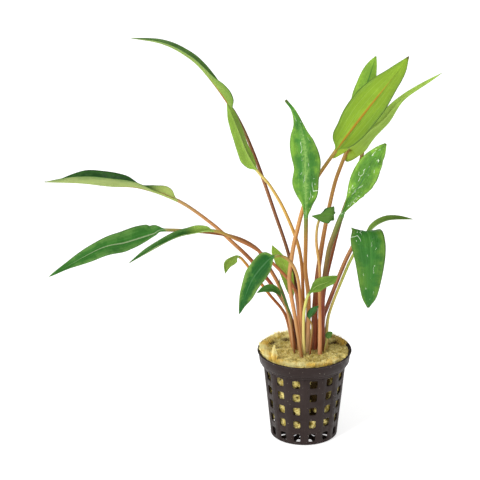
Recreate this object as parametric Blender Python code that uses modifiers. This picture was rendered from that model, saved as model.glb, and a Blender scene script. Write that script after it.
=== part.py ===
"""Potted cryptocoryne: a rosette of long-stalked water-plant leaves growing in a small net pot.

Metres, +Z up. The origin is the middle of the pot's base, on the surface that the pot stands on.
The plant's front faces -Y. The routes of stalks and blades are in millimetres for easy reading.
"""
from math import atan2, cos, hypot, pi, radians, sin

import bmesh
import bpy
from mathutils import Vector

MM = 0.001
GAP = 0.00035

# Net pot, the common 5 cm size
POT_HEIGHT = 0.053
RIM_RADIUS = 0.0275
COLLAR_FOOT_RADIUS = 0.0262
COLLAR_HEIGHT = 0.0070
BODY_TOP_RADIUS = 0.0243
BASE_RADIUS = 0.0195
WALL = 0.0010
LIP = 0.0009
EDGE_ROUND = 0.0006
LEDGE = POT_HEIGHT - COLLAR_HEIGHT

# Windows in the pot's wall, and slots in its floor between the hub and the wall
WINDOW_COLUMNS = 14
WINDOW_SHARE = 0.44
WINDOW_HEIGHT = 0.0049
ROW_PITCH = 0.0089
FIRST_ROW = 0.0045
ROWS = 5
HUB_RADIUS = 0.0055
FLOOR_SLOTS = ((0.0068, 0.0105), (0.0120, 0.0165))

# Planting wool, and the crown that the leaves spring from
WOOL_FOOT = 0.0075
WOOL_SIDES = 36
DOME = 0.0030
POCKET_CENTRE = (0.0025, -0.0045)
POCKET_RADIUS = 0.0118
POCKET_FLOOR = 0.0340
CROWN_TOP = 0.0500
CROWN_SIDES = 20
STALK_FOOT = CROWN_TOP + GAP

# Leaves: rings along a stalk and a blade, and half the thickness of a blade
STALK_RINGS = 10
BLADE_RINGS = 8
STALK_TAPER = 0.25
MIDRIB_HALF = 0.00045
LAMINA_HALF = 0.00026
TIP = 0.985

for old in list(bpy.data.objects):
    bpy.data.objects.remove(old, do_unlink=True)


def new_collection(name):
    group = bpy.data.collections.new(name)
    bpy.context.scene.collection.children.link(group)
    return group


PARTS = new_collection("potted_cryptocoryne")
CUTTERS = new_collection("cutters")


def material(name, colour, roughness):
    made = bpy.data.materials.new(name)
    made.use_nodes = True
    shader = made.node_tree.nodes["Principled BSDF"]
    shader.inputs["Base Color"].default_value = (*colour, 1)
    shader.inputs["Roughness"].default_value = roughness
    shader.inputs["Metallic"].default_value = 0
    return made


def finish(name, bm, skin, smooth):
    """Turn a bmesh into a named object, its faces pointing out and its edges sharp past an angle."""
    bmesh.ops.recalc_face_normals(bm, faces=bm.faces)
    mesh = bpy.data.meshes.new(name)
    bm.to_mesh(mesh)
    bm.free()
    made = bpy.data.objects.new(name, mesh)
    PARTS.objects.link(made)
    mesh.materials.append(skin)
    mesh.shade_smooth()
    mesh.set_sharp_from_angle(angle=radians(smooth))
    return made


def ring_of_points(bm, radius, height, angles):
    return [bm.verts.new((radius * cos(a), radius * sin(a), height)) for a in angles]


def wall_radius(height):
    """Outer radius of the tapered wall between the base and the collar."""
    return BASE_RADIUS + (BODY_TOP_RADIUS - BASE_RADIUS) * height / LEDGE


def make_pot():
    """One open sheet, from the floor's hub out and up to the lip, less its windows, then given its wall."""
    pitch = 2 * pi / WINDOW_COLUMNS
    half_window = pitch * WINDOW_SHARE / 2
    angles = []
    for column in range(WINDOW_COLUMNS):
        centre = -pi / 2 + pitch * (column + 0.5)
        angles += [centre - half_window, centre + half_window]
    count = len(angles)

    profile = [(HUB_RADIUS, 0, False)]
    for inner, outer in FLOOR_SLOTS:
        profile += [(inner, 0, True), (outer, 0, False)]
    profile += [(BASE_RADIUS - EDGE_ROUND, 0, False), (BASE_RADIUS, EDGE_ROUND, False)]
    for row in range(ROWS):
        middle = FIRST_ROW + row * ROW_PITCH
        low = middle - WINDOW_HEIGHT / 2
        high = middle + WINDOW_HEIGHT / 2
        profile += [(wall_radius(low), low, True), (wall_radius(high), high, False)]
    profile += [
        (BODY_TOP_RADIUS, LEDGE, False),
        (COLLAR_FOOT_RADIUS - EDGE_ROUND, LEDGE, False),
        (COLLAR_FOOT_RADIUS, LEDGE + EDGE_ROUND, False),
        (RIM_RADIUS - LIP / 2, POT_HEIGHT - LIP, False),
        (RIM_RADIUS, POT_HEIGHT - LIP / 2, False),
        (RIM_RADIUS - LIP / 4, POT_HEIGHT, False),
    ]

    bm = bmesh.new()
    hub = bm.verts.new((0, 0, 0))
    rings = [(ring_of_points(bm, r, z, angles), opens) for r, z, opens in profile]
    first = rings[0][0]
    for k in range(count):
        bm.faces.new((hub, first[(k + 1) % count], first[k]))
    for (lower, opens), (upper, _) in zip(rings, rings[1:]):
        for k in range(count):
            is_window = opens and k % 2 == 0
            if not is_window:
                n = (k + 1) % count
                bm.faces.new((lower[k], lower[n], upper[n], upper[k]))
    pot = finish("net_pot", bm, material("dark_plastic", (0.045, 0.030, 0.027), 0.45), 30)
    shell = pot.modifiers.new("wall", "SOLIDIFY")
    shell.thickness = WALL
    shell.offset = -1
    shell.use_even_offset = True
    return pot


def lathe(bm, profile, count):
    """Closed turned solid from a (radius, height) profile that runs from the axis back to the axis."""
    angles = [2 * pi * k / count for k in range(count)]
    bottom = bm.verts.new((0, 0, profile[0][1]))
    top = bm.verts.new((0, 0, profile[-1][1]))
    rings = [ring_of_points(bm, radius, height, angles) for radius, height in profile[1:-1]]
    for k in range(count):
        n = (k + 1) % count
        bm.faces.new((bottom, rings[0][n], rings[0][k]))
        bm.faces.new((top, rings[-1][k], rings[-1][n]))
        for lower, upper in zip(rings, rings[1:]):
            bm.faces.new((lower[k], lower[n], upper[n], upper[k]))


def make_wool():
    """The plug of planting wool, wedged in the tapered pot and domed, with a pocket for the crown."""
    inset = WALL + 2 * GAP
    shoulder = LEDGE + inset
    rim_inside = RIM_RADIUS - LIP / 2 - inset - GAP
    dome = [(share * rim_inside, POT_HEIGHT + DOME * (1 - share ** 2)) for share in (0.95, 0.85, 0.6, 0.3, 0)]
    profile = [
        (0, WOOL_FOOT),
        (wall_radius(WOOL_FOOT) - inset - 0.002, WOOL_FOOT),
        (wall_radius(WOOL_FOOT) - inset, WOOL_FOOT + 0.002),
        (BODY_TOP_RADIUS - inset, LEDGE),
        (BODY_TOP_RADIUS - inset, shoulder),
        (COLLAR_FOOT_RADIUS - inset - GAP, shoulder + GAP),
        (rim_inside, POT_HEIGHT - LIP),
    ]
    bm = bmesh.new()
    lathe(bm, profile + dome, WOOL_SIDES)
    for vert in bm.verts:
        radius = hypot(vert.co.x, vert.co.y)
        angle = atan2(vert.co.y, vert.co.x)
        if vert.co.z > POT_HEIGHT:
            vert.co.z += 0.0005 * sin(5 * angle + 900 * radius) + 0.0003 * sin(9 * angle)
    wool = finish("planting_wool", bm, material("planting_wool", (0.52, 0.42, 0.12), 0.95), 60)

    depth = 2 * (POT_HEIGHT - POCKET_FLOOR)
    bpy.ops.mesh.primitive_cylinder_add(
        vertices=CROWN_SIDES, radius=POCKET_RADIUS, depth=depth,
        location=(*POCKET_CENTRE, POCKET_FLOOR + depth / 2))
    pocket = bpy.context.object
    pocket.name = "pocket_cutter"
    for group in list(pocket.users_collection):
        group.objects.unlink(pocket)
    CUTTERS.objects.link(pocket)
    pocket.hide_render = True
    pocket.display_type = "WIRE"
    cut = wool.modifiers.new("pocket", "BOOLEAN")
    cut.operation = "DIFFERENCE"
    cut.solver = "EXACT"
    cut.object = pocket
    return wool


def make_crown():
    """The short rootstock that carries every leaf, seated in the wool's pocket."""
    radius = POCKET_RADIUS - GAP
    floor = POCKET_FLOOR + GAP
    bm = bmesh.new()
    lathe(bm, [(0, floor), (0.7 * radius, floor), (radius, floor + 0.3 * radius),
               (radius, CROWN_TOP - GAP), (radius - GAP, CROWN_TOP), (0, CROWN_TOP)], CROWN_SIDES)
    bmesh.ops.translate(bm, verts=bm.verts, vec=(*POCKET_CENTRE, 0))
    return finish("crown", bm, material("crown", (0.20, 0.12, 0.06), 0.8), 40)


def smooth_route(points, steps):
    """Points along a Catmull-Rom curve through the given points."""
    ends = [points[0] * 2 - points[1]] + points + [points[-1] * 2 - points[-2]]
    spans = len(points) - 1
    route = []
    for step in range(steps + 1):
        place = min(step / steps * spans, spans - 1e-6)
        k = int(place)
        t = place - k
        a, b, c, d = ends[k:k + 4]
        route.append(0.5 * (2 * b + (c - a) * t + (2 * a - 5 * b + 4 * c - d) * t ** 2
                            + (3 * b - a - 3 * c + d) * t ** 3))
    return route


def blade_section(t, width, fold, broad):
    """The eight points of a blade's cross-section, (across, up), at share t of the way to its tip."""
    half = width * MM / 2 * sin(pi * min(t, TIP) ** broad) ** 0.8
    rise = half * sin(radians(fold))
    half *= cos(radians(fold))
    rib = MIDRIB_HALF * (1 - 0.6 * t)
    web = LAMINA_HALF * (1 - 0.5 * t)
    return [
        (half, rise), (half / 2, rise / 2 + web), (0, rib), (-half / 2, rise / 2 + web),
        (-half, rise), (-half / 2, rise / 2 - web), (0, -rib), (half / 2, rise / 2 - web)]


def make_leaf(name, skin, stalk, blade, across, width, fold=10, stalk_width=2.0, broad=0.75):
    """One leaf, grown as one piece: a round stalk that flattens into a blade.

    stalk runs from its foot (x, y) on the crown up to the blade, and blade from there to the tip.
    across is the direction in which the blade spreads, fold is how far each half of it is raised
    from flat, in degrees, and a smaller broad puts its widest place nearer to the stalk.
    """
    foot = Vector((*stalk[0], STALK_FOOT / MM))
    lower = smooth_route([foot] + [Vector(p) for p in stalk[1:]] + [Vector(blade[0])], STALK_RINGS)
    upper = smooth_route([Vector(p) for p in blade], BLADE_RINGS)
    route = [p * MM for p in lower[:-1] + upper]
    joint = len(lower) - 1
    last = len(route) - 1

    bm = bmesh.new()
    rings = []
    for k, point in enumerate(route):
        along = (route[min(k + 1, last)] - route[max(k - 1, 0)]).normalized()
        if k == 0:
            along = Vector((0, 0, 1))
        side = Vector(across)
        side = (side - along * side.dot(along)).normalized()
        up = along.cross(side)
        if k <= joint:
            radius = stalk_width * MM / 2 * (1 - STALK_TAPER * k / joint)
            section = [(radius * cos(pi / 4 * j), radius * sin(pi / 4 * j)) for j in range(8)]
        else:
            section = blade_section((k - joint) / BLADE_RINGS, width, fold, broad)
        rings.append([bm.verts.new(point + side * s + up * n) for s, n in section])
    for lower_ring, upper_ring in zip(rings, rings[1:]):
        for j in range(8):
            n = (j + 1) % 8
            bm.faces.new((lower_ring[j], lower_ring[n], upper_ring[n], upper_ring[j]))
    bm.faces.new(rings[0])
    bm.faces.new(rings[-1])
    return finish(name, bm, skin, 50)


DARK = material("dark_leaf", (0.045, 0.16, 0.035), 0.35)
MID = material("green_leaf", (0.10, 0.27, 0.045), 0.38)
LIGHT = material("light_leaf", (0.22, 0.42, 0.06), 0.42)

make_pot()
make_wool()
make_crown()

# Leaves that lean or arch to the left
make_leaf("tall_arching_leaf", DARK,
          stalk=[(-1.3, 4.2), (-4, 7, 81), (-9, 10, 107), (-17, 15, 131), (-30, 23, 167)],
          blade=[(-41.2, 27.3, 190.5), (-58, 32, 213), (-70, 34, 223), (-83, 35, 229), (-100, 35, 232)],
          across=(0, -1, 0), width=12, fold=40, stalk_width=2.8, broad=0.65)
make_leaf("bright_folded_leaf", LIGHT,
          stalk=[(-0.4, -1.4), (-1, 0, 84), (-3, 1, 113), (-11, 3, 136), (-20, 6, 152)],
          blade=[(-28, 9, 161), (-34, 11, 171), (-39, 13, 184), (-45, 16, 199)],
          across=(0.8, 0.5, 0.4), width=12, fold=25, stalk_width=2.3, broad=0.6)
make_leaf("long_left_leaf", LIGHT,
          stalk=[(-3, 0.8), (-8.6, 1.4, 74), (-17, 1, 90), (-31, 2, 108), (-43, 4, 119.5), (-54, 7, 129)],
          blade=[(-73, 12, 141), (-95, 18, 147), (-113, 21, 147), (-130, 23, 148), (-151, 24, 148)],
          across=(0, -1, 0), width=15, fold=55, stalk_width=2.4)
make_leaf("broad_left_leaf", DARK,
          stalk=[(-4.9, -2), (-8.5, -3, 72.5), (-13.7, -4.2, 91.5), (-20, -6.5, 105.5), (-29, -10, 121),
                 (-47, -15, 131)],
          blade=[(-79.5, -22, 136.5), (-87, -25, 134), (-102, -30.5, 132.5), (-117, -36, 130.5),
                 (-145, -44, 117)],
          across=(-0.1, -0.85, -0.5), width=17, fold=8, stalk_width=2.6, broad=0.65)
make_leaf("narrow_left_leaf", MID,
          stalk=[(-3.2, -4.2), (-3.8, -5.5, 84), (-7, -6, 95), (-13, -7.5, 104), (-27, -13, 120),
                 (-40, -17, 129)],
          blade=[(-52.5, -21.8, 136), (-66, -26, 136), (-76, -31, 134.7), (-89, -36.6, 129.2),
                 (-100, -40, 123.7)],
          across=(0, -0.95, -0.3), width=10, fold=40, stalk_width=2.4)
make_leaf("hanging_front_leaf", DARK,
          stalk=[(-1.4, -6.2), (-2.6, -11.5, 85), (-5, -17, 106.5), (-10.5, -22.8, 119)],
          blade=[(-18, -26, 122), (-25, -29, 117), (-31, -31, 109), (-35, -32, 99), (-38, -32, 89)],
          across=(0.85, 0.3, -0.3), width=14, stalk_width=2.3)
make_leaf("small_left_leaf", LIGHT,
          stalk=[(-6, 0.4), (-8.3, -0.3, 64), (-12.2, -1.4, 77), (-21, -3.5, 89.5), (-33, -7, 108)],
          blade=[(-38, -10, 115), (-42, -11, 114), (-45, -12, 111), (-46, -13, 106)],
          across=(0.7, 0.4, -0.4), width=8, stalk_width=2.1)
make_leaf("small_dark_leaf", DARK,
          stalk=[(-5.6, -7.4), (-8.4, -9.3, 75)],
          blade=[(-14, -12, 91), (-18, -12, 96), (-23, -12, 96), (-28, -13, 94)],
          across=(0, -0.8, -0.6), width=6, stalk_width=1.2)
make_leaf("young_leaf", MID,
          stalk=[(-6, -4.6), (-7.3, -6.3, 71)],
          blade=[(-8.5, -6.6, 78), (-11, -7, 86), (-13.6, -7.2, 93), (-15.2, -7.6, 101)],
          across=(0.7, 0.7, 0.2), width=4, fold=30, stalk_width=1.2)
make_leaf("inner_light_leaf", LIGHT,
          stalk=[(-4.4, 3), (-5, 3.5, 70)],
          blade=[(-7, 3, 84), (-9, 3, 94), (-12, 3, 104), (-19, 3, 117)],
          across=(0.95, 0.2, 0.3), width=9, stalk_width=1.4)

# Leaves that stand in the middle
make_leaf("upright_middle_leaf", MID,
          stalk=[(1.2, -5.2), (2, -7, 86), (0, -8, 106), (0, -9, 121)],
          blade=[(0, -10, 139), (0, -12, 163), (-1, -13, 178), (-4, -14, 193),
                 (-8, -16, 204), (-12, -18, 213)],
          across=(1, 0.15, 0.1), width=17, fold=12, stalk_width=2.6, broad=0.55)
make_leaf("small_centre_leaf", DARK,
          stalk=[(8.8, -8.3), (8.6, -10.5, 72), (8.2, -12.3, 90), (8, -13, 109), (6, -12, 126)],
          blade=[(7.5, -10.5, 138), (12, -9.5, 141.5), (16, -11.5, 143), (14.5, -14.5, 143),
                 (9.5, -16, 142.5), (3, -17, 143)],
          across=(0.1, -0.2, 0.95), width=11, stalk_width=2.2)
make_leaf("small_front_leaf", LIGHT,
          stalk=[(-0.6, -9.8), (-1, -14, 77), (0, -17, 89)],
          blade=[(2, -19, 96), (6, -20, 101), (12, -21, 104), (18, -21, 108)],
          across=(-0.5, 0.4, 0.75), width=6, stalk_width=1.7)
make_leaf("low_folded_leaf", DARK,
          stalk=[(2.6, -9.6), (4, -11.5, 71)],
          blade=[(2.5, -13.5, 78), (4, -14.5, 82), (7.5, -15.5, 87)],
          across=(0.8, 0.3, -0.45), width=5.5, fold=25, stalk_width=1.2)

# Leaves that lean to the right
make_leaf("big_upper_leaf", LIGHT,
          stalk=[(-1.5, -13.2), (-5.6, -12.7, 77), (-9.2, -11.5, 99), (-8.3, -8.5, 111.5), (-5.5, -4, 126),
                 (2, 1, 151)],
          blade=[(17, 6, 174), (25, 8, 185), (35, 10, 198), (46, 12, 212), (58, 14, 228)],
          across=(0.79, 0.1, -0.6), width=20, fold=8, stalk_width=2.7)
make_leaf("back_upper_leaf", MID,
          stalk=[(7, 2), (10, 6, 88), (15, 11, 106), (21, 18, 128), (29, 29, 157)],
          blade=[(33, 36, 176), (33, 39, 187), (35, 42, 198), (41, 47, 217)],
          across=(1, -0.1, -0.1), width=13, stalk_width=2.3)
make_leaf("narrow_right_leaf", LIGHT,
          stalk=[(5.3, -3), (6.3, -1, 89), (10, 4, 119), (16, 12, 148), (20.5, 16.5, 161)],
          blade=[(24.8, 19, 170), (31.5, 21, 172), (40, 24, 180), (48, 27, 188), (67, 33, 205),
                 (79, 36, 211)],
          across=(0.6, 0.3, -0.75), width=14, fold=15, stalk_width=3.1, broad=0.55)
make_leaf("glossy_right_leaf", MID,
          stalk=[(10.3, -4.4), (10, -7.5, 87), (13, -11, 119), (18, -12, 135)],
          blade=[(22, -12, 146), (27, -12, 155), (32, -12, 163), (36, -12, 173), (42, -12, 185)],
          across=(0.88, 0.1, -0.45), width=16, fold=12, stalk_width=2.5)
make_leaf("hanging_right_leaf", DARK,
          stalk=[(9.9, -0.6), (10.4, -1.5, 72), (13.2, -2.8, 82), (22, -5, 108), (27, -6, 120)],
          blade=[(29, -8, 126), (34, -12, 132), (36, -17, 130), (37, -19, 120), (37, -18, 99), (36, -16, 86)],
          across=(1, 0, 0), width=19, fold=0, stalk_width=2.9, broad=0.65)
make_leaf("slim_right_leaf", DARK,
          stalk=[(12.3, -1.9), (12.9, -0.8, 68), (15, 1.2, 78), (22, 5, 96), (27.5, 8, 108)],
          blade=[(35, 12, 119), (40, 15, 125), (46, 17, 128), (52, 19, 128), (63, 22, 126)],
          across=(0, 0.95, 0.25), width=6, fold=30, stalk_width=1.5)
make_leaf("seedling_leaf", MID,
          stalk=[(11.3, -6.9), (11.6, -7.3, 56), (12.4, -7.4, 60.5)],
          blade=[(13.2, -7.4, 62.5), (14.7, -7.2, 65), (17.2, -7.2, 66.5)],
          across=(-0.1, 0.3, 0.9), width=4, stalk_width=0.9, broad=0.9)
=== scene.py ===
"""Looks of the potted cryptocoryne: metres, +Z up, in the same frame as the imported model.

The sections follow the plant as a grower puts it together: net pot, planting wool, crown, leaves.
"""
from math import cos, degrees, exp, hypot, pi, radians, sin
from random import Random

import bmesh
import bpy
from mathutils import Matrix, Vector, noise


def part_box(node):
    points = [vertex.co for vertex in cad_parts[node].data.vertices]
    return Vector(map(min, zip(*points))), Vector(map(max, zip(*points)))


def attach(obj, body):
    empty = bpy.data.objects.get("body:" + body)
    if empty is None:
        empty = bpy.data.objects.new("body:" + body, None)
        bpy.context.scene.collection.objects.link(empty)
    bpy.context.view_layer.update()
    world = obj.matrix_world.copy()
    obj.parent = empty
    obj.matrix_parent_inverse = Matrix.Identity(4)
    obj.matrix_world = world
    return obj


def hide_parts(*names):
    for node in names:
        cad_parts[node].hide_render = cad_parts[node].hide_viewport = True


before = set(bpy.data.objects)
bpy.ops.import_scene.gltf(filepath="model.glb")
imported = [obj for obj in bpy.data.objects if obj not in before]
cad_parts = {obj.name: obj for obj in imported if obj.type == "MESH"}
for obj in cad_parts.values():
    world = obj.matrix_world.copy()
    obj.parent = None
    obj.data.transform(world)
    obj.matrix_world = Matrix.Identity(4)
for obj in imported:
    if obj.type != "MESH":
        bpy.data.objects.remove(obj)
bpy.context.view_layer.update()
MM = 0.001

# The net pot: one injection moulding in dark brown plastic, with a slotted floor, a tapered wall of
# five rows of windows between upright ribs, and a stepped collar that it hangs by. One bay, a window
# wide, is drawn as an open sheet, repeated round the pot, and then given its wall.
POT_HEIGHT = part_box("net_pot")[1].z
BAYS = 14
BASE_RADIUS = 0.0195
BASE_ROUNDING = 0.0008
BODY_TOP_RADIUS = 0.0243
COLLAR_FOOT_RADIUS = 0.0262
RIM_RADIUS = 0.0275
COLLAR_FOOT = 0.0460
STEP_FOOT = 0.0445
STEP_RADIUS = 0.0252
POT_WALL = 0.0010
EDGE_ROUNDING = 0.00013
JOIN_WITHIN = 0.000005
ROWS = 5
WINDOW_HEIGHT = 0.0049
WINDOW_HALF_SHARE = 0.22
WINDOW_FRAME = 0.00035
ROW_PITCH = 0.0089
FIRST_ROW = 0.0045
ROWS_FOOT = 0.0013
ROWS_TOP = 0.0437
GROOVE = 0.00035
GROOVE_HALF_SHARE = 0.275
RIB_HALF_SHARE = 0.36
CHAMFER = 0.00018
BAY_STEPS = 12
WINDOW_STEPS = 8
FLOOR_SLOTS = ((0.0062, 0.0068, 0.0105, 0.0112), (0.0112, 0.0120, 0.0165, 0.0174))


def smooth(low, high, value):
    """Share of the way from low to high, eased at both ends."""
    share = min(max((value - low) / (high - low), 0), 1)
    return share * share * (3 - 2 * share)


def steps(first, last, count):
    """Evenly spaced values from first to last."""
    return [first + (last - first) * k / count for k in range(count + 1)]


def polar(radius, angle, height):
    """The point at a radius and an angle round the upright axis."""
    return Vector((radius * cos(angle), radius * sin(angle), height))


def wall_at(height):
    """A (radius, height) on the outside of the tapered wall."""
    return (BASE_RADIUS + (BODY_TOP_RADIUS - BASE_RADIUS) * height / COLLAR_FOOT, height)


def on_pot(u, low, high, share, depth):
    """The point at u bays round the pot and a share of the way between two rails, sunk by depth."""
    rise = Vector(high) - Vector(low)
    inward = Vector((-rise.y, rise.x)).normalized()
    radius, height = Vector(low) + rise * share + inward * depth
    return polar(radius, 2 * pi / BAYS * u, height)


def groove(u):
    """How far the strip that holds the windows lies behind the ribs, at u bays from its middle."""
    return GROOVE * (1 - smooth(GROOVE_HALF_SHARE, RIB_HALF_SHARE, abs(u)))


def stitch(bm, lower, upper, closed=False):
    """Quads between two rows of points."""
    count = len(lower)
    for k in range(count if closed else count - 1):
        n = (k + 1) % count
        corners = [lower[k], lower[n], upper[n], upper[k]]
        bm.faces.new([bm.verts.new(point) for point in corners])


def to_mesh(bm, name):
    """A mesh with a bmesh's faces."""
    mesh = bpy.data.meshes.new(name)
    bm.to_mesh(mesh)
    bm.free()
    return mesh


def plain_band(bm, low, high, low_depth, high_depth):
    """A strip of the bay with no opening, whose groove fades from one rail to the other."""
    across = steps(-0.5, 0.5, BAY_STEPS)
    lower = [on_pot(u, low, high, 0, groove(u) * low_depth) for u in across]
    upper = [on_pot(u, low, high, 1, groove(u) * high_depth) for u in across]
    stitch(bm, lower, upper)


def window_band(bm, low, high, sill, head, grooved):
    """A strip of the bay with a round-cornered opening from sill to head, as shares of its height."""
    rows = steps(0, 1, WINDOW_STEPS)
    for side in (-1, 1):
        edge = sorted([side * 0.5, side * (0.5 + RIB_HALF_SHARE) / 2, side * RIB_HALF_SHARE])
        for lower, upper in zip(rows, rows[1:]):
            stitch(bm, [on_pot(u, low, high, lower, 0) for u in edge],
                   [on_pot(u, low, high, upper, 0) for u in edge])
    reach = steps(-1, 1, WINDOW_STEPS)[:-1]
    outline = [(x, -1) for x in reach] + [(1, y) for y in reach]
    outline += [(-x, 1) for x in reach] + [(-1, -y) for y in reach]
    middle = (sill + head) / 2
    half = (head - sill) / 2
    frame_edge = half + WINDOW_FRAME / (Vector(high) - Vector(low)).length
    outer = [on_pot(x * RIB_HALF_SHARE, low, high, (1 + y) / 2, groove(x * RIB_HALF_SHARE) * grooved)
             for x, y in outline]
    rings = (
        (GROOVE_HALF_SHARE, frame_edge, 0.5, 12, GROOVE * grooved),
        (WINDOW_HALF_SHARE * 1.12, frame_edge, 0, 8, GROOVE * grooved),
        (WINDOW_HALF_SHARE, half, 0, 7, GROOVE * grooved + CHAMFER),
    )
    for half_share, half_height, outward, squareness, depth in rings:
        inner = []
        for x, y in outline:
            pull = (abs(x) ** squareness + abs(y) ** squareness) ** (-1 / squareness)
            share = middle + y * pull * half_height
            share += outward * ((1 + y) / 2 - share)
            inner.append(on_pot(x * pull * half_share, low, high, share, depth))
        stitch(bm, outer, inner, closed=True)
        outer = inner


def draw_bay():
    """One bay of the pot as an open sheet, from the middle of the floor out and up to the lip."""
    bm = bmesh.new()
    hub = FLOOR_SLOTS[0][0]
    hub_edge = [on_pot(u, (0, 0), (hub, 0), 1, 0) for u in steps(-0.5, 0.5, BAY_STEPS)]
    for near, far in zip(hub_edge, hub_edge[1:]):
        bm.faces.new([bm.verts.new(point) for point in (Vector((0, 0, 0)), far, near)])
    for start, sill, head, stop in FLOOR_SLOTS:
        width = stop - start
        window_band(bm, (start, 0), (stop, 0), (sill - start) / width, (head - start) / width, 0)
    rails = [(FLOOR_SLOTS[-1][3], 0)]
    for turn in steps(0, pi / 2, 3):
        radius = wall_at(BASE_ROUNDING)[0] - BASE_ROUNDING * (1 - sin(turn))
        rails.append((radius, BASE_ROUNDING * (1 - cos(turn))))
    for low, high in zip(rails, rails[1:]):
        plain_band(bm, low, high, 0, 0)

    middles = [FIRST_ROW + ROW_PITCH * row for row in range(ROWS)]
    edges = [ROWS_FOOT] + [(a + b) / 2 for a, b in zip(middles, middles[1:])] + [ROWS_TOP]
    plain_band(bm, rails[-1], wall_at(edges[0]), 0, 1)
    for middle, bottom, top in zip(middles, edges, edges[1:]):
        sill = (middle - WINDOW_HEIGHT / 2 - bottom) / (top - bottom)
        head = (middle + WINDOW_HEIGHT / 2 - bottom) / (top - bottom)
        window_band(bm, wall_at(bottom), wall_at(top), sill, head, 1)

    collar = [
        wall_at(edges[-1]), wall_at(STEP_FOOT - 0.0002),
        (wall_at(STEP_FOOT)[0] + 0.0003, STEP_FOOT), (STEP_RADIUS - 0.0002, STEP_FOOT + 0.0001),
        (STEP_RADIUS, STEP_FOOT + 0.0004), (STEP_RADIUS + 0.0001, COLLAR_FOOT - 0.0002),
        (STEP_RADIUS + 0.0004, COLLAR_FOOT), (COLLAR_FOOT_RADIUS - 0.0003, COLLAR_FOOT + 0.0001),
        (COLLAR_FOOT_RADIUS, COLLAR_FOOT + 0.0005), (COLLAR_FOOT_RADIUS + 0.0004, 0.0495),
        (RIM_RADIUS - 0.0006, POT_HEIGHT - 0.0012), (RIM_RADIUS - 0.0002, POT_HEIGHT - 0.0009),
        (RIM_RADIUS, POT_HEIGHT - 0.0005), (RIM_RADIUS - 0.0001, POT_HEIGHT - 0.0001),
        (RIM_RADIUS - 0.0003, POT_HEIGHT),
    ]
    for k, (low, high) in enumerate(zip(collar, collar[1:])):
        plain_band(bm, low, high, k == 0, 0)
    bmesh.ops.remove_doubles(bm, verts=bm.verts, dist=JOIN_WITHIN)
    return to_mesh(bm, "pot_bay")


def feed(tree, node, values):
    """Give inputs of a node constants, or the outputs of other nodes."""
    for socket, value in values.items():
        if isinstance(value, bpy.types.NodeSocket):
            tree.links.new(value, node.inputs[socket])
        else:
            node.inputs[socket].default_value = value


def wire(tree, kind, values, **settings):
    """Add a node with its settings to a tree, and feed its inputs."""
    made = tree.nodes.new(kind)
    for name, value in settings.items():
        setattr(made, name, value)
    feed(tree, made, values)
    return made


def new_tree(name, kind, inputs, outputs):
    """An empty node group with named sockets, what it is given, and the sockets of its results."""
    tree = bpy.data.node_groups.new(name, kind)
    for way, sockets in (("INPUT", inputs), ("OUTPUT", outputs)):
        for socket, holds in sockets:
            tree.interface.new_socket(socket, in_out=way, socket_type="NodeSocket" + holds)
    return tree, tree.nodes.new("NodeGroupInput").outputs, tree.nodes.new("NodeGroupOutput").inputs


def place_mesh(name, mesh, material=None):
    """A new object in the scene that shows a mesh."""
    made = bpy.data.objects.new(name, mesh)
    bpy.context.scene.collection.objects.link(made)
    if material:
        mesh.materials.append(material)
    return made


def use_tree(target, tree, values):
    """Put a Geometry Nodes tree on an object and set its named inputs."""
    modifier = target.modifiers.new(tree.name, "NODES")
    modifier.node_group = tree
    for item in tree.interface.items_tree:
        if item.in_out == "INPUT" and item.name in values:
            modifier[item.identifier] = values[item.name]


def bake(target):
    """Turn an object and its modifiers into a plain smooth mesh."""
    graph = bpy.context.evaluated_depsgraph_get()
    mesh = bpy.data.meshes.new_from_object(target.evaluated_get(graph))
    target.modifiers.clear()
    target.data = mesh
    mesh.shade_smooth()


def maths(tree, operation, *values):
    """The result of a Math node."""
    return wire(tree, "ShaderNodeMath", dict(enumerate(values)), operation=operation).outputs[0]


def times(tree, value, *others):
    """The product of some values."""
    for other in others:
        value = maths(tree, "MULTIPLY", value, other)
    return value


def add(tree, value, *others):
    """The sum of some values."""
    for other in others:
        value = maths(tree, "ADD", value, other)
    return value


def combine(tree, **values):
    """A vector made from its X, Y and Z, of which those left out are 0."""
    return wire(tree, "ShaderNodeCombineXYZ", values).outputs[0]


def repeat_round():
    """Geometry Nodes: a mesh repeated evenly round the upright axis, joined into one."""
    tree, given, result = new_tree(
        "repeat_round", "GeometryNodeTree",
        [("Geometry", "Geometry"), ("Count", "Int"), ("Join within", "Float"), ("Material", "Material")],
        [("Geometry", "Geometry")])
    turn = maths(tree, "DIVIDE", 2 * pi, given["Count"])
    place = wire(tree, "GeometryNodeInputIndex", {}).outputs[0]
    points = wire(tree, "GeometryNodePoints", {"Count": given["Count"]}).outputs[0]
    copies = wire(tree, "GeometryNodeInstanceOnPoints", {
        "Points": points, "Instance": given["Geometry"],
        "Rotation": combine(tree, Z=times(tree, turn, place))}).outputs[0]
    real = wire(tree, "GeometryNodeRealizeInstances", {"Geometry": copies}).outputs[0]
    joined = wire(tree, "GeometryNodeMergeByDistance", {
        "Geometry": real, "Distance": given["Join within"]}).outputs[0]
    painted = wire(tree, "GeometryNodeSetMaterial", {"Geometry": joined, "Material": given["Material"]})
    tree.links.new(painted.outputs[0], result[0])
    return tree


def ramp(tree, value, low, high, first=0.0, last=1.0):
    """A value eased from first at low to last at high."""
    return wire(tree, "ShaderNodeMapRange", {
        "Value": value, "From Min": low, "From Max": high, "To Min": first, "To Max": last},
        interpolation_type="SMOOTHSTEP").outputs[0]


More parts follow.
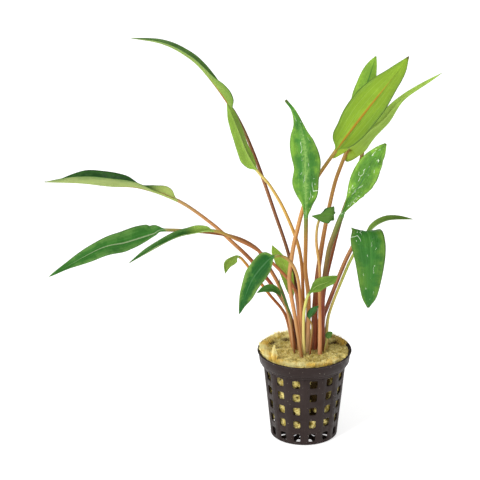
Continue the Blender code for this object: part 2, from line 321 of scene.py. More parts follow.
def grain_group():
    """Shader group: noise of one size, sharpened between two levels into a mask from 0 to 1."""
    tree, given, result = new_tree(
        "grain", "ShaderNodeTree",
        [("Vector", "Vector"), ("Scale", "Float"), ("Detail", "Float"), ("Low", "Float"),
         ("High", "Float")],
        [("Mask", "Float")])
    speckle = wire(tree, "ShaderNodeTexNoise", {
        "Vector": given["Vector"], "Scale": given["Scale"], "Detail": given["Detail"],
        "Roughness": 0.6}).outputs[0]
    tree.links.new(ramp(tree, speckle, given["Low"], given["High"]), result[0])
    return tree


GRAIN = grain_group()


def grain(tree, vector, scale, low=0.35, high=0.65, detail=3.0):
    """The mask of a grain group placed in a tree."""
    return wire(tree, "ShaderNodeGroup", {
        "Vector": vector, "Scale": scale, "Low": low, "High": high, "Detail": detail},
        node_tree=GRAIN).outputs[0]


def stretch(tree, vector, scale):
    """A vector with its parts multiplied by a scale each."""
    return wire(tree, "ShaderNodeMapping", {"Vector": vector, "Scale": scale}).outputs[0]


def mix(tree, share, first, second):
    """The colour that is a share of the way from first to second."""
    ends = [end if isinstance(end, bpy.types.NodeSocket) else (*end, 1) for end in (first, second)]
    return wire(tree, "ShaderNodeMix", {0: share, 6: ends[0], 7: ends[1]}, data_type="RGBA").outputs[2]


def new_material(name):
    """A Principled material: its tree, shader node and a socket of Object coordinates."""
    made = bpy.data.materials.new(name)
    made.use_nodes = True
    tree = made.node_tree
    place = wire(tree, "ShaderNodeTexCoord", {}).outputs["Object"]
    return made, tree, tree.nodes["Principled BSDF"], place


def bump(tree, height, distance, strength=0.5):
    """The normal of a surface with a relief of some height."""
    return wire(tree, "ShaderNodeBump", {
        "Height": height, "Distance": distance, "Strength": strength}).outputs["Normal"]


def pot_plastic():
    """Dark warm-brown plastic, satin, with a faint moulding grain, scuffs and a few specks of grit."""
    made, tree, shader, place = new_material("pot_plastic")
    colour = mix(tree, grain(tree, place, 60, 0.3, 0.7), (0.020, 0.011, 0.0095), (0.029, 0.018, 0.016))
    scuffs = grain(tree, stretch(tree, place, (1, 1, 6)), 260, 0.60, 0.78)
    colour = mix(tree, times(tree, scuffs, 0.30), colour, (0.085, 0.068, 0.058))
    grit = grain(tree, place, 1100, 0.735, 0.775, 1.0)
    colour = mix(tree, times(tree, grit, 0.6), colour, (0.42, 0.38, 0.31))
    worn = grain(tree, place, 420)
    feed(tree, shader, {
        "Base Color": colour, "Roughness": ramp(tree, worn, 0, 1, 0.36, 0.52),
        "Specular IOR Level": 0.16, "Normal": bump(tree, grain(tree, place, 1900), 0.00004, 0.35)})
    return made


pot = place_mesh("net_pot_moulding", draw_bay())
use_tree(pot, repeat_round(), {
    "Count": BAYS, "Join within": 2 * JOIN_WITHIN, "Material": pot_plastic()})
wall = pot.modifiers.new("wall", "SOLIDIFY")
wall.thickness = POT_WALL
wall.offset = -1
wall.use_even_offset = True
rounding = pot.modifiers.new("rounding", "BEVEL")
rounding.width = EDGE_ROUNDING
rounding.segments = 2
rounding.limit_method = "ANGLE"
rounding.angle_limit = radians(50)
bake(pot)
pot.data.set_sharp_from_angle(angle=radians(40))
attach(pot, "root")
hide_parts("net_pot")

# The planting wool: a plug of ochre mineral fibre, wedged in the pot round the plant's foot. A lumpy
# solid body with a pocket for the crown carries loose fibres, and pale tufts where it is torn.
WOOL_FOOT = 0.0075
WOOL_INSET = 0.0014
WOOL_RIM = RIM_RADIUS - 0.0017
WOOL_TOP_EDGE = POT_HEIGHT - 0.0012
AROUND_WOOL = 260
DOME = 0.0022
REAR_RISE = 0.0021
RIGHT_DIP = 0.0009
TEAR_DEPTH = 0.0044
SIDE_RELIEF = 0.0010
MOSTLY_WHOLE = -0.22
POCKET_CENTRE = Vector((0.0025, -0.0045, 0))
POCKET_RADIUS = 0.0118
POCKET_FLOOR = 0.0340
POCKET_TOP = 0.0502
# Each hollow in the top: the place of its middle (x, y), its reach and its depth.
HOLLOWS = ((-0.0200, 0.0100, 0.0056, 0.0015), (-0.0150, 0.0020, 0.0032, 0.0012),
           (0.0134, 0.0078, 0.0024, 0.0018), (0.0212, 0.0112, 0.0036, 0.0022),
           (0.0175, 0.0096, 0.0022, 0.0015), (0.0100, -0.0190, 0.0015, 0.0013),
           (0.0225, -0.0076, 0.0022, 0.0016), (0.0158, -0.0176, 0.0024, 0.0015),
           (-0.0046, -0.0012, 0.0013, 0.0022), (0.0070, -0.0085, 0.0012, 0.0020),
           (-0.0105, 0.0135, 0.0036, 0.0015))
# Each worn place in the side: its angle, height, reach round the pot in degrees, reach in height, and
# how strongly it is worn, or with a minus how well it is filled.
SIDE_GAPS = ((-65, 0.035, 21, 0.009, 1.5), (-62, 0.022, 17, 0.006, 0.45), (-157, 0.030, 9, 0.014, 1.3),
             (-133, 0.036, 4, 0.009, 0.7), (-103, 0.041, 9, 0.003, 0.4), (-25, 0.025, 7, 0.020, -0.6),
             (-122, 0.025, 6, 0.016, -0.4), (60, 0.030, 22, 0.010, 0.5), (140, 0.024, 16, 0.010, 0.5))


def lumps(point, size, depth=3):
    """Layered noise of about the given lump size, from -1 to 1."""
    return noise.fractal(point / size, 1.0, 2.0, depth)


def hollow(x, y):
    """Depth of the torn hollows in the top of the wool."""
    return sum(deep * exp(-((x - cx) ** 2 + (y - cy) ** 2) / reach ** 2) for cx, cy, reach, deep in HOLLOWS)


def crumbs(x, y):
    """Relief of the crumbly top, in lumps of a few millimetres with smaller ones on them."""
    here = Vector((x, y, 0))
    return 0.0010 * lumps(here, 0.0042) + 0.0009 * lumps(here + Vector((9, 3, 0)), 0.0015, 4)


def wool_top(x, y):
    """Height of the wool's crumbly top at a place."""
    share = hypot(x, y) / WOOL_RIM
    rear = smooth(-0.1, 0.9, y / WOOL_RIM) * share ** 2
    right = smooth(0.2, 1.0, x / WOOL_RIM) * smooth(0.5, -0.1, y / WOOL_RIM) * share ** 2
    height = POT_HEIGHT - 0.0010 + DOME * (1 - share ** 2) + REAR_RISE * rear - RIGHT_DIP * right
    return height + crumbs(x, y) - hollow(x, y)


def thinness(angle, height):
    """Where the plug's side is torn away behind the wall, on top of the chance of the lumps."""
    worn = MOSTLY_WHOLE
    for centre, level, wide, tall, amount in SIDE_GAPS:
        off = (degrees(angle) - centre + 180) % 360 - 180
        worn += amount * exp(-(off / wide) ** 2 - ((height - level) / tall) ** 2)
    return worn


def untorn(height):
    """Radius of the plug behind the pot's wall where it isn't torn."""
    return wall_at(height)[0] - WOOL_INSET - GROOVE


def wool_side(angle, height):
    """Radius of the lumpy side of the plug."""
    limit = untorn(height)
    if height > COLLAR_FOOT + WOOL_INSET:
        limit += (WOOL_RIM - limit) * smooth(COLLAR_FOOT + WOOL_INSET, COLLAR_FOOT + 0.003, height)
    here = polar(limit, angle, height)
    torn = smooth(-0.05, 0.40, lumps(here + Vector((0, 0, 4)), 0.0048, 2) + thinness(angle, height))
    return limit - TEAR_DEPTH * torn - SIDE_RELIEF * abs(lumps(here, 0.0016))


def skin_over(bm, rings):
    """A closed skin over rings of points, with a cap at each end."""
    loops = [[bm.verts.new(point) for point in ring] for ring in rings]
    count = len(loops[0])
    for lower, upper in zip(loops, loops[1:]):
        for k in range(count):
            n = (k + 1) % count
            bm.faces.new((lower[k], lower[n], upper[n], upper[k]))
    bm.faces.new(reversed(loops[0]))
    bm.faces.new(loops[-1])


def mark_points(mesh, name, values):
    """Store a number or a vector at each point of a mesh, for its material to read."""
    kind, field = ("FLOAT_VECTOR", "vector") if isinstance(values[0], tuple) else ("FLOAT", "value")
    for place, value in zip(mesh.attributes.new(name, kind, "POINT").data, values):
        setattr(place, field, value)


def hollow_shading(point):
    """How deep in a hollow a point of the plug lies, from 0 to 1, which sets how dark its painted shade is.
    """
    x, y, z = point
    if z > POT_HEIGHT - 0.0016:
        return min(1, 480 * hollow(x, y) + 0.6 * smooth(0.0, -0.0012, crumbs(x, y)))
    return smooth(0.0005, 0.0030, untorn(z) - hypot(x, y))


def wool_body():
    """The plug as one closed mesh, with a sealed pocket that holds the crown."""
    angles = [2 * pi * k / AROUND_WOOL for k in range(AROUND_WOOL)]
    rings = []
    for share in steps(0.06, 0.9, 10):
        rings.append([polar(share * wool_side(a, WOOL_FOOT), a,
                            WOOL_FOOT + 0.0012 * abs(lumps(polar(share, a, 5), 0.2))) for a in angles])
    for height in steps(WOOL_FOOT + 0.0008, WOOL_TOP_EDGE, 66):
        rings.append([polar(wool_side(a, height), a, height) for a in angles])
    for share in steps(0.985, 0.02, 70):
        radius = share * WOOL_RIM
        rings.append([polar(radius, a, wool_top(radius * cos(a), radius * sin(a))) for a in angles])
    bm = bmesh.new()
    skin_over(bm, rings)
    skin_over(bm, [[POCKET_CENTRE + polar(POCKET_RADIUS, a, height) for a in reversed(angles[::10])]
                   for height in (POCKET_FLOOR, POCKET_TOP)])
    mesh = to_mesh(bm, "wool_body")
    # The hollow mark sets the painted shade of the sunken places.
    mark_points(mesh, "hollow", [hollow_shading(vert.co) for vert in mesh.vertices])
    return mesh


def read(tree, name, output="Fac"):
    """What is stored at a mesh's points under a name."""
    return wire(tree, "ShaderNodeAttribute", {}, attribute_name=name).outputs[output]


def wool_skin():
    """Matt ochre and olive fibre, pale on the crumbs, with painted shade in dark brown in the hollows, the
    pits and the torn places.
    """
    made, tree, shader, place = new_material("planting_wool")
    patches = grain(tree, place, 330, 0.40, 0.60)
    flecks = grain(tree, place, 900, 0.38, 0.66, 5)
    colour = mix(tree, patches, (0.50, 0.36, 0.060), (1.0, 0.84, 0.30))
    colour = mix(tree, times(tree, flecks, 0.5), colour, (1.0, 0.92, 0.46))
    olive = grain(tree, place, 210, 0.50, 0.64)
    colour = mix(tree, times(tree, olive, 0.5), colour, (0.42, 0.32, 0.04))
    # Painted shade: the hollows, the pits between the crumbs and the torn places behind the wall are darkened
    # to near-black brown.
    colour = mix(tree, ramp(tree, read(tree, "hollow"), 0.2, 0.8, 0, 0.96), colour, (0.070, 0.034, 0.008))
    fine = add(tree, grain(tree, place, 2300, 0.2, 0.8, 5), flecks)
    feed(tree, shader, {"Base Color": colour, "Roughness": 0.95, "Specular IOR Level": 0.15,
                        "Normal": bump(tree, fine, 0.00025, 0.9)})
    return made


def fibre_skin():
    """Loose mineral fibres, from straw yellow to cream."""
    made, tree, shader, place = new_material("wool_fibre")
    patches = grain(tree, place, 330, 0.40, 0.60)
    colour = mix(tree, patches, (0.56, 0.42, 0.075), (1.0, 0.90, 0.42))
    strands = grain(tree, place, 1500, 0.40, 0.62)
    colour = mix(tree, times(tree, strands, 0.4), colour, (0.46, 0.33, 0.05))
    feed(tree, shader, {"Base Color": colour, "Roughness": ramp(tree, strands, 0, 1, 0.65, 0.9)})
    return made


def scatter_fibres():
    """Geometry Nodes: short curled fibres strewn over a surface, leaning away from its normal."""
    tree, given, result = new_tree(
        "scatter_fibres", "GeometryNodeTree",
        [("Geometry", "Geometry"), ("Density", "Float"), ("Length", "Float"), ("Thickness", "Float"),
         ("Tilt", "Float"), ("Seed", "Int"), ("Material", "Material")],
        [("Geometry", "Geometry")])
    length = given["Length"]
    seed = given["Seed"]
    points = wire(tree, "GeometryNodeDistributePointsOnFaces", {
        "Mesh": given["Geometry"], "Density": given["Density"], "Seed": seed}).outputs
    kinds = wire(tree, "GeometryNodeGeometryToInstance", {})
    for bend, tip in ((0.35, 0.9), (-0.25, 0.6), (0.6, 0.35)):
        middle = combine(tree, X=times(tree, length, bend), Z=times(tree, length, 0.5))
        end = combine(tree, Y=times(tree, length, bend / 2), Z=times(tree, length, tip))
        curve = wire(tree, "GeometryNodeCurveQuadraticBezier", {
            "Resolution": 4, "Start": (0, 0, -0.0002), "Middle": middle, "End": end}).outputs[0]
        section = wire(tree, "GeometryNodeCurvePrimitiveCircle", {
            "Resolution": 3, "Radius": given["Thickness"]}).outputs[0]
        fibre = wire(tree, "GeometryNodeCurveToMesh", {
            "Curve": curve, "Profile Curve": section, "Fill Caps": True}).outputs[0]
        tree.links.new(fibre, kinds.inputs[0])
    lean = wire(tree, "FunctionNodeRandomValue", {
        2: 0.3, 3: given["Tilt"], "Seed": seed}, data_type="FLOAT").outputs[1]
    spin = wire(tree, "FunctionNodeRandomValue", {
        0: (0, 0, 0), 1: (0, 0, 2 * pi), "Seed": seed}, data_type="FLOAT_VECTOR").outputs[0]
    size = wire(tree, "FunctionNodeRandomValue", {
        2: 0.5, 3: 1.3, "Seed": seed}, data_type="FLOAT").outputs[1]
    leaning = wire(tree, "FunctionNodeRotateRotation", {
        "Rotation": spin, "Rotate By": combine(tree, X=lean)}, rotation_space="LOCAL").outputs[0]
    turned = wire(tree, "FunctionNodeRotateRotation", {
        "Rotation": leaning, "Rotate By": points["Rotation"]}, rotation_space="GLOBAL").outputs[0]
    copies = wire(tree, "GeometryNodeInstanceOnPoints", {
        "Points": points["Points"], "Instance": kinds.outputs[0], "Pick Instance": True,
        "Rotation": turned, "Scale": size}).outputs[0]
    real = wire(tree, "GeometryNodeRealizeInstances", {"Geometry": copies}).outputs[0]
    painted = wire(tree, "GeometryNodeSetMaterial", {"Geometry": real, "Material": given["Material"]})
    tree.links.new(painted.outputs[0], result[0])
    return tree


wool = place_mesh("planting_wool_plug", wool_body(), wool_skin())
wool.data.shade_smooth()
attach(wool, "root")
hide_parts("planting_wool")

FIBRE = fibre_skin()
FIBRES = scatter_fibres()


def faces_where(mesh, wanted, name):
    """A copy of a mesh that keeps only the faces whose middle is wanted."""
    bm = bmesh.new()
    bm.from_mesh(mesh)
    unwanted = [face for face in bm.faces if not wanted(face.calc_center_median())]
    bmesh.ops.delete(bm, geom=unwanted, context="FACES")
    return to_mesh(bm, name)


def strew(name, wanted, values):
    """Fibres over a part of the plug, as a piece of their own."""
    made = place_mesh(name, faces_where(wool.data, wanted, name))
    use_tree(made, FIBRES, dict(values, Material=FIBRE))
    bake(made)
    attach(made, "root")


def on_top(middle):
    """Whether a face is part of the plug's top, inside its edge and outside the hollows."""
    inside = hypot(middle.x, middle.y) < WOOL_RIM - 0.0011 and hollow(middle.x, middle.y) < 0.0008
    return inside and abs(middle.z - wool_top(middle.x, middle.y)) < 0.0005


def on_side(middle):
    """Whether a face is part of the plug's side behind the wall, where it isn't torn deep."""
    below_collar = WOOL_FOOT < middle.z < COLLAR_FOOT - 0.003
    return below_collar and hypot(middle.x, middle.y) > untorn(middle.z) - 0.0018


strew("wool_top_fibres", on_top, {
    "Density": 1.3e6, "Length": 0.0017, "Thickness": 0.00009, "Tilt": 1.45, "Seed": 5})
strew("wool_side_fibres", on_side, {
    "Density": 9.0e5, "Length": 0.0012, "Thickness": 0.00008, "Tilt": 1.4, "Seed": 11})

STRAND_RADIUS = 0.00013
PEAK_FOOT = (-0.0181, -0.0170, POT_HEIGHT)
UPWARD = (0.02, 0.05, 1)
SPILL = (-0.55, 0.30, 1.0)


def strand(bm, route):
    """A thin three-sided fibre along a route, tapering to its tip."""
    last = len(route) - 1
    rings = []
    for k, point in enumerate(route):
        along = (route[min(k + 1, last)] - route[max(k - 1, 0)]).normalized()
        side = along.orthogonal().normalized()
        up = along.cross(side)
        size = STRAND_RADIUS * (1 - 0.7 * k / last)
        rings.append([point + (side * cos(a) + up * sin(a)) * size for a in (0, 2 * pi / 3, 4 * pi / 3)])
    skin_over(bm, rings)


def tuft(bm, chance, foot, lean, length, spread, count, gather, flat=1.0):
    """A torn bunch of fibres from a foot; gather draws their tips to a point, and flat thins it in depth."""
    lean = Vector(lean).normalized()
    for _ in range(count):
        offset = Vector((chance.gauss(0, spread), chance.gauss(0, spread * flat), 0))
        start = Vector(foot) + offset
        start *= min(1, 0.965 * WOOL_RIM / hypot(start.x, start.y))
        start.z = wool_top(start.x, start.y) - 0.0004
        reach = length * chance.uniform(0.55, 1.0)
        tip = Vector(foot) + offset * (1 - gather) + lean * reach
        stray = Vector((chance.gauss(0, 1), chance.gauss(0, 1), chance.gauss(0, 0.6)))
        tip += stray * spread * 0.5 * (1 - gather)
        middle = (start + tip) / 2 + Vector((chance.gauss(0, 1), chance.gauss(0, 1), 0.8)) * reach * 0.09
        strand(bm, [start, (start + middle * 3) / 4, (middle * 3 + tip) / 4, tip])


def torn_tufts():
    """The pale tufts: a heap that spills over the rim at the left, one peak, and two fringes."""
    chance = Random(41)
    bm = bmesh.new()
    for angle in steps(170, 216, 14):
        for rim, length in ((0.95, 0.0028), (0.88, 0.0032)):
            foot = polar(rim * WOOL_RIM, radians(angle), POT_HEIGHT)
            tuft(bm, chance, foot, SPILL, length, 0.0007, 46, 0.1)
    tuft(bm, chance, PEAK_FOOT, UPWARD, 0.0100, 0.00072, 210, 0.80, 0.35)
    for angle in steps(222, 322, 34):
        foot = polar(WOOL_RIM * chance.uniform(0.90, 0.965), radians(angle), POT_HEIGHT)
        length = 0.0026 * chance.uniform(0.6, 1.2)
        tuft(bm, chance, foot, polar(0.15, radians(angle), 1), length, 0.0007, 34, 0.3)
    for angle in steps(20, 168, 32):
        foot = polar(WOOL_RIM * chance.uniform(0.93, 0.975), radians(angle), POT_HEIGHT)
        tuft(bm, chance, foot, polar(0.6, radians(angle), 1), 0.0022, 0.0011, 26, 0)
    return to_mesh(bm, "wool_tufts")


def tuft_skin():
    """Cream-yellow torn fibre."""
    made, tree, shader, place = new_material("torn_fibre")
    patches = grain(tree, place, 160, 0.38, 0.62)
    feed(tree, shader, {"Base Color": mix(tree, patches, (0.92, 0.68, 0.15), (1.0, 0.93, 0.50)),
                        "Roughness": ramp(tree, patches, 0, 1, 0.85, 0.65)})
    return made


tufts = place_mesh("wool_tufts", torn_tufts(), tuft_skin())
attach(tufts, "root")

# The crown: the short brown rootstock inside the wool that every leaf springs from. It is ringed with
# old leaf scars and knobbed with the stubs of roots, and fills the pocket in the plug.
CROWN_FOOT = POCKET_FLOOR + 0.0006
CROWN_TOP = 0.0498
CROWN_GIRTH = POCKET_RADIUS - 0.0012
AROUND_CROWN = 72


def crown_body():
    """A ringed, knobbed lump between the pocket's floor and the leaves' feet."""
    rings = []
    for share in steps(0.02, 1, 34):
        height = CROWN_FOOT + (CROWN_TOP - CROWN_FOOT) * share
        girth = CROWN_GIRTH * (1 - (1 - share) ** 4) ** 0.5 * (0.96 + 0.04 * cos(share * 34))
        ring = []
        for k in range(AROUND_CROWN):
            a = 2 * pi * k / AROUND_CROWN
            knob = 0.0007 * max(0, lumps(polar(2, a, share * 5), 0.5))
            ring.append(POCKET_CENTRE + polar(girth - 0.0004 + knob, a, height))
        rings.append(ring)
    bm = bmesh.new()
    skin_over(bm, rings)
    return to_mesh(bm, "crown_rootstock")


def crown_skin():
    """Matt brown rootstock, ringed and flecked."""
    made, tree, shader, place = new_material("crown")
    rings = grain(tree, stretch(tree, place, (1, 1, 4)), 220)
    feed(tree, shader, {"Base Color": mix(tree, rings, (0.11, 0.060, 0.028), (0.27, 0.16, 0.080)),
                        "Roughness": ramp(tree, rings, 0, 1, 0.9, 0.7),
                        "Normal": bump(tree, grain(tree, place, 1400), 0.0002)})
    return made


crown = place_mesh("crown_rootstock", crown_body(), crown_skin())
crown.data.shade_smooth()
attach(crown, "root")
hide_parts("crown")

# The leaves, each one grown piece: a fleshy stalk, stained orange to dark red from its foot up, that
# runs on as the midrib under a thin blade. A stalk and blade are drawn as rings along one smooth line.
# Like the leaves' points, the height of the stalks' feet and the narrowest half-width are in millimetres.
STALK_FOOT = 50.2
NARROWEST = 0.12
STALK_RINGS = 36
BLADE_RINGS = 72
COLUMNS = 11
COLUMN_SPREAD = 1.35
LAMINA = 0.00017
THINNEST_RIB = 0.00006
STALK_FLATNESS = 0.9
LOBED_NECK = 0.03
PLAIN_NECK = 0.07
# SHADE_FROM points to the stalks' side away from the key light, which is given painted shade.
SHADE_FROM = Vector((0.72, 0.15, -0.55)).normalized()
PLAIN_BLADE = {"right_fold": 10, "left_fold": 10, "right_lobe": 0, "left_lobe": 0,
               "ripple": 0, "waves": 3, "pucker": 0.05}


def through(points, share):
    """A point, or a number, on the smooth line through evenly spaced ones."""
    last = len(points) - 1
    place = min(max(share, 0), 1) * last
    k = min(int(place), last - 1)
    t = place - k
    b, c = points[k], points[k + 1]
    a = points[k - 1] if k else b * 2 - c
    d = points[k + 2] if k + 2 <= last else c * 2 - b
    return 0.5 * (2 * b + (c - a) * t + (2 * a - 5 * b + 4 * c - d) * t ** 2
                  + (3 * b - a - 3 * c + d) * t ** 3)


def even_route(points, first, last, count):
    """Points spaced evenly by length along the smooth line, between two of the points it runs through."""
    spans = len(points) - 1
    fine = [through(points, share / spans) for share in steps(first, last, 30 * (last - first))]
    lengths = [0]
    for near, far in zip(fine, fine[1:]):
        lengths.append(lengths[-1] + (far - near).length)
    route = []
    k = 0
    for goal in steps(0, lengths[-1], count):
        while k < len(fine) - 2 and lengths[k + 1] < goal:
            k += 1
        share = (goal - lengths[k]) / (lengths[k + 1] - lengths[k])
        route.append(fine[k].lerp(fine[k + 1], share))
    return route


def half_blade(half, form, t):
    """(across, up, back, edge, lean) from beside the midrib out to the margin, on one side of a blade."""
    side, start = (1, 0.13) if half == "right" else (-1, 0.57)
    width = max(through(form[half], t), NARROWEST) * MM
    fold = form[half + "_fold"]
    lean = radians(through(fold, t) if isinstance(fold, list) else fold)
    lobe = form[half + "_lobe"] * MM * smooth(0.22, 0, t)
    wave = form["ripple"] * MM * sin(2 * pi * (form["waves"] * t + start))
    wave *= smooth(0, 0.15, t) * smooth(1, 0.9, t)
    points = []
    for k in range(1, COLUMNS + 1):
        edge = (k / COLUMNS) ** COLUMN_SPREAD
        pucker = form["pucker"] * MM * lumps(Vector((side * edge * 3.2, t * 13, form["seed"])), 1.0, 2)
        rise = wave * edge ** 2 + pucker * smooth(0, 0.25, edge) * smooth(0, 0.1, t)
        points.append((side * (width * edge * cos(lean) - rise * sin(lean)),
                       width * edge * sin(lean) + rise * cos(lean),
                       lobe * max(0, sin(pi * edge)) ** 0.8, edge, side * lean))
    return points


def blade_ring(form, t):
    """The points (across, up, back) of a blade's section, round from its right margin by the top."""
    right = half_blade("right", form, t)
    left = half_blade("left", form, t)
    rib = form["neck"] * (1 - t) ** 0.75 * 0.9 + THINNEST_RIB
    centre = (0, 0, 0, 0, 0)
    top = right[::-1] + [centre] + left
    under = left[-2::-1] + [centre] + right[:-1]
    ring = []
    for face, points, depth, spread in ((1, top, 0.30, 0.8), (-1, under, 1, 1)):
        for across, up, back, edge, lean in points:
            web = face * LAMINA * (1 - 0.6 * edge ** 3) * (1 - 0.3 * t)
            raised = -depth * rib * exp(-(across / (spread * rib)) ** 2)
            ring.append((across - web * sin(lean), up + web * cos(lean) + raised, back))
    return ring


def stalk_ring(radius, angles):
    """The points of a stalk's section, round with a shallow channel above."""
    ring = []
    for a in angles:
        channel = 1 - 0.14 * exp(-((a - pi / 2) / 0.45) ** 2)
        ring.append((radius * cos(a) * channel, radius * sin(a) * channel * STALK_FLATNESS, 0))
    return ring


def grow(name, skin, stalk, blade, across, stalk_width, seed, right, left=None, taper=0.25, sheath=0.25,
         **shape):
    """One leaf in place of its CAD node.

    stalk runs from its foot (x, y) up to the blade, and blade from there to the tip, in millimetres.
    across is the way the blade's right half lies. right and left are half-widths along the blade, the
    same unless both are given, and fold is how far a half is raised, in degrees. The stalk loses a share
    of its width towards the blade, its taper, and its foot is wider by a share, its sheath.
    """
    points = [Vector((*stalk[0], STALK_FOOT))] + [Vector(p) for p in stalk[1:] + blade]
    neck = len(stalk)
    lower = even_route(points, 0, neck, STALK_RINGS)
    upper = even_route(points, neck, len(points) - 1, BLADE_RINGS)
    route = [p * MM for p in lower[:-1] + upper]
    last = len(route) - 1
    width = stalk_width / 2 * MM
    form = dict(PLAIN_BLADE, right=right, left=left or right, neck=width * (1 - taper), seed=seed, **shape)
    neck_length = LOBED_NECK if form["right_lobe"] else PLAIN_NECK
    angles = [2 * pi * j / (4 * COLUMNS) for j in range(4 * COLUMNS)]
    rings = []
    marks = []
    for k, point in enumerate(route):
        along = (route[min(k + 2, last)] - route[max(k - 2, 0)]).normalized()
        side = Vector(across)
        side = (side - along * side.dot(along)).normalized()
        up = along.cross(side)
        height = k / STALK_RINGS
        t = max(0, (k - STALK_RINGS) / BLADE_RINGS)
        radius = width * (1 - taper * min(height, 1)) * (1 + sheath * smooth(0.40, 0, height))
        radius *= 1 + 0.05 * sin(height * 9 + seed)
        section = stalk_ring(radius, angles)
        if t > 0:
            leafy = smooth(0, neck_length, t)
            section = [Vector(s).lerp(Vector(b), leafy) for s, b in zip(section, blade_ring(form, t))]
        rings.append([point + side * s + up * n - along * back for s, n, back in section])
        for j, a in enumerate(angles):
            column = abs(j % (2 * COLUMNS) - COLUMNS) if t > 0 else 0
            outward = side * cos(a) + up * sin(a)
            # The last mark is the stalks' painted shade: how far a point faces away from the key light.
            marks.append((
                (cos(a), sin(a), 1 + t if t > 0 else height),
                (column / COLUMNS) ** COLUMN_SPREAD,
                smooth(-0.5, 0.9, outward.dot(SHADE_FROM))))
    bm = bmesh.new()
    skin_over(bm, rings)
    mesh = to_mesh(bm, name)
    mesh.shade_smooth()
    for mark, values in zip(("ring", "edge", "painted_shade"), zip(*marks)):
        mark_points(mesh, mark, values)
    leaf = place_mesh(name + "_grown", mesh, skin)
    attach(leaf, "root")
    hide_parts(name)


def stalk_group():
    """Shader group: a stalk's colour from its foot to the blade, streaked, with painted shade on the side
    away from the light and a painted highlight on its lit side.
    """
    tree, given, result = new_tree(
        "stalk_colour", "ShaderNodeTree",
        [("Ring", "Vector"), ("Painted shade", "Float"), ("Shading strength", "Float")]
        + [(part, "Color") for part in ("Foot", "Low", "High", "Neck", "Shade")],
        [("Color", "Color")])
    along = wire(tree, "ShaderNodeSeparateXYZ", {0: given["Ring"]}).outputs["Z"]
    colour = mix(tree, ramp(tree, along, 0.0, 0.35), given["Foot"], given["Low"])
    colour = mix(tree, ramp(tree, along, 0.35, 0.78), colour, given["High"])
    colour = mix(tree, ramp(tree, along, 0.80, 1.02), colour, given["Neck"])
    streaks = grain(tree, stretch(tree, given["Ring"], (1.6, 1.6, 3.5)), 2.2, 0.38, 0.66, 4)
    # Painted shade: the side away from the key light is darkened towards the Shade colour, broken up by the
    # streaks.
    shading_strength = times(tree, given["Painted shade"], given["Shading strength"], ramp(tree, streaks, 0, 1, 0.55, 1.15))
    colour = mix(tree, shading_strength, colour, given["Shade"])
    # Painted highlight: the side facing the key light, and pale streaks along the stalk, are mixed towards
    # pale cream.
    pale = add(tree, ramp(tree, given["Painted shade"], 0.02, 0.20, 0.14, 0.0), times(tree, streaks, 0.08))
    pale = times(tree, pale, times(tree, given["Shading strength"], 1.25))
    tree.links.new(mix(tree, pale, colour, (0.95, 0.66, 0.34)), result[0])
    return tree


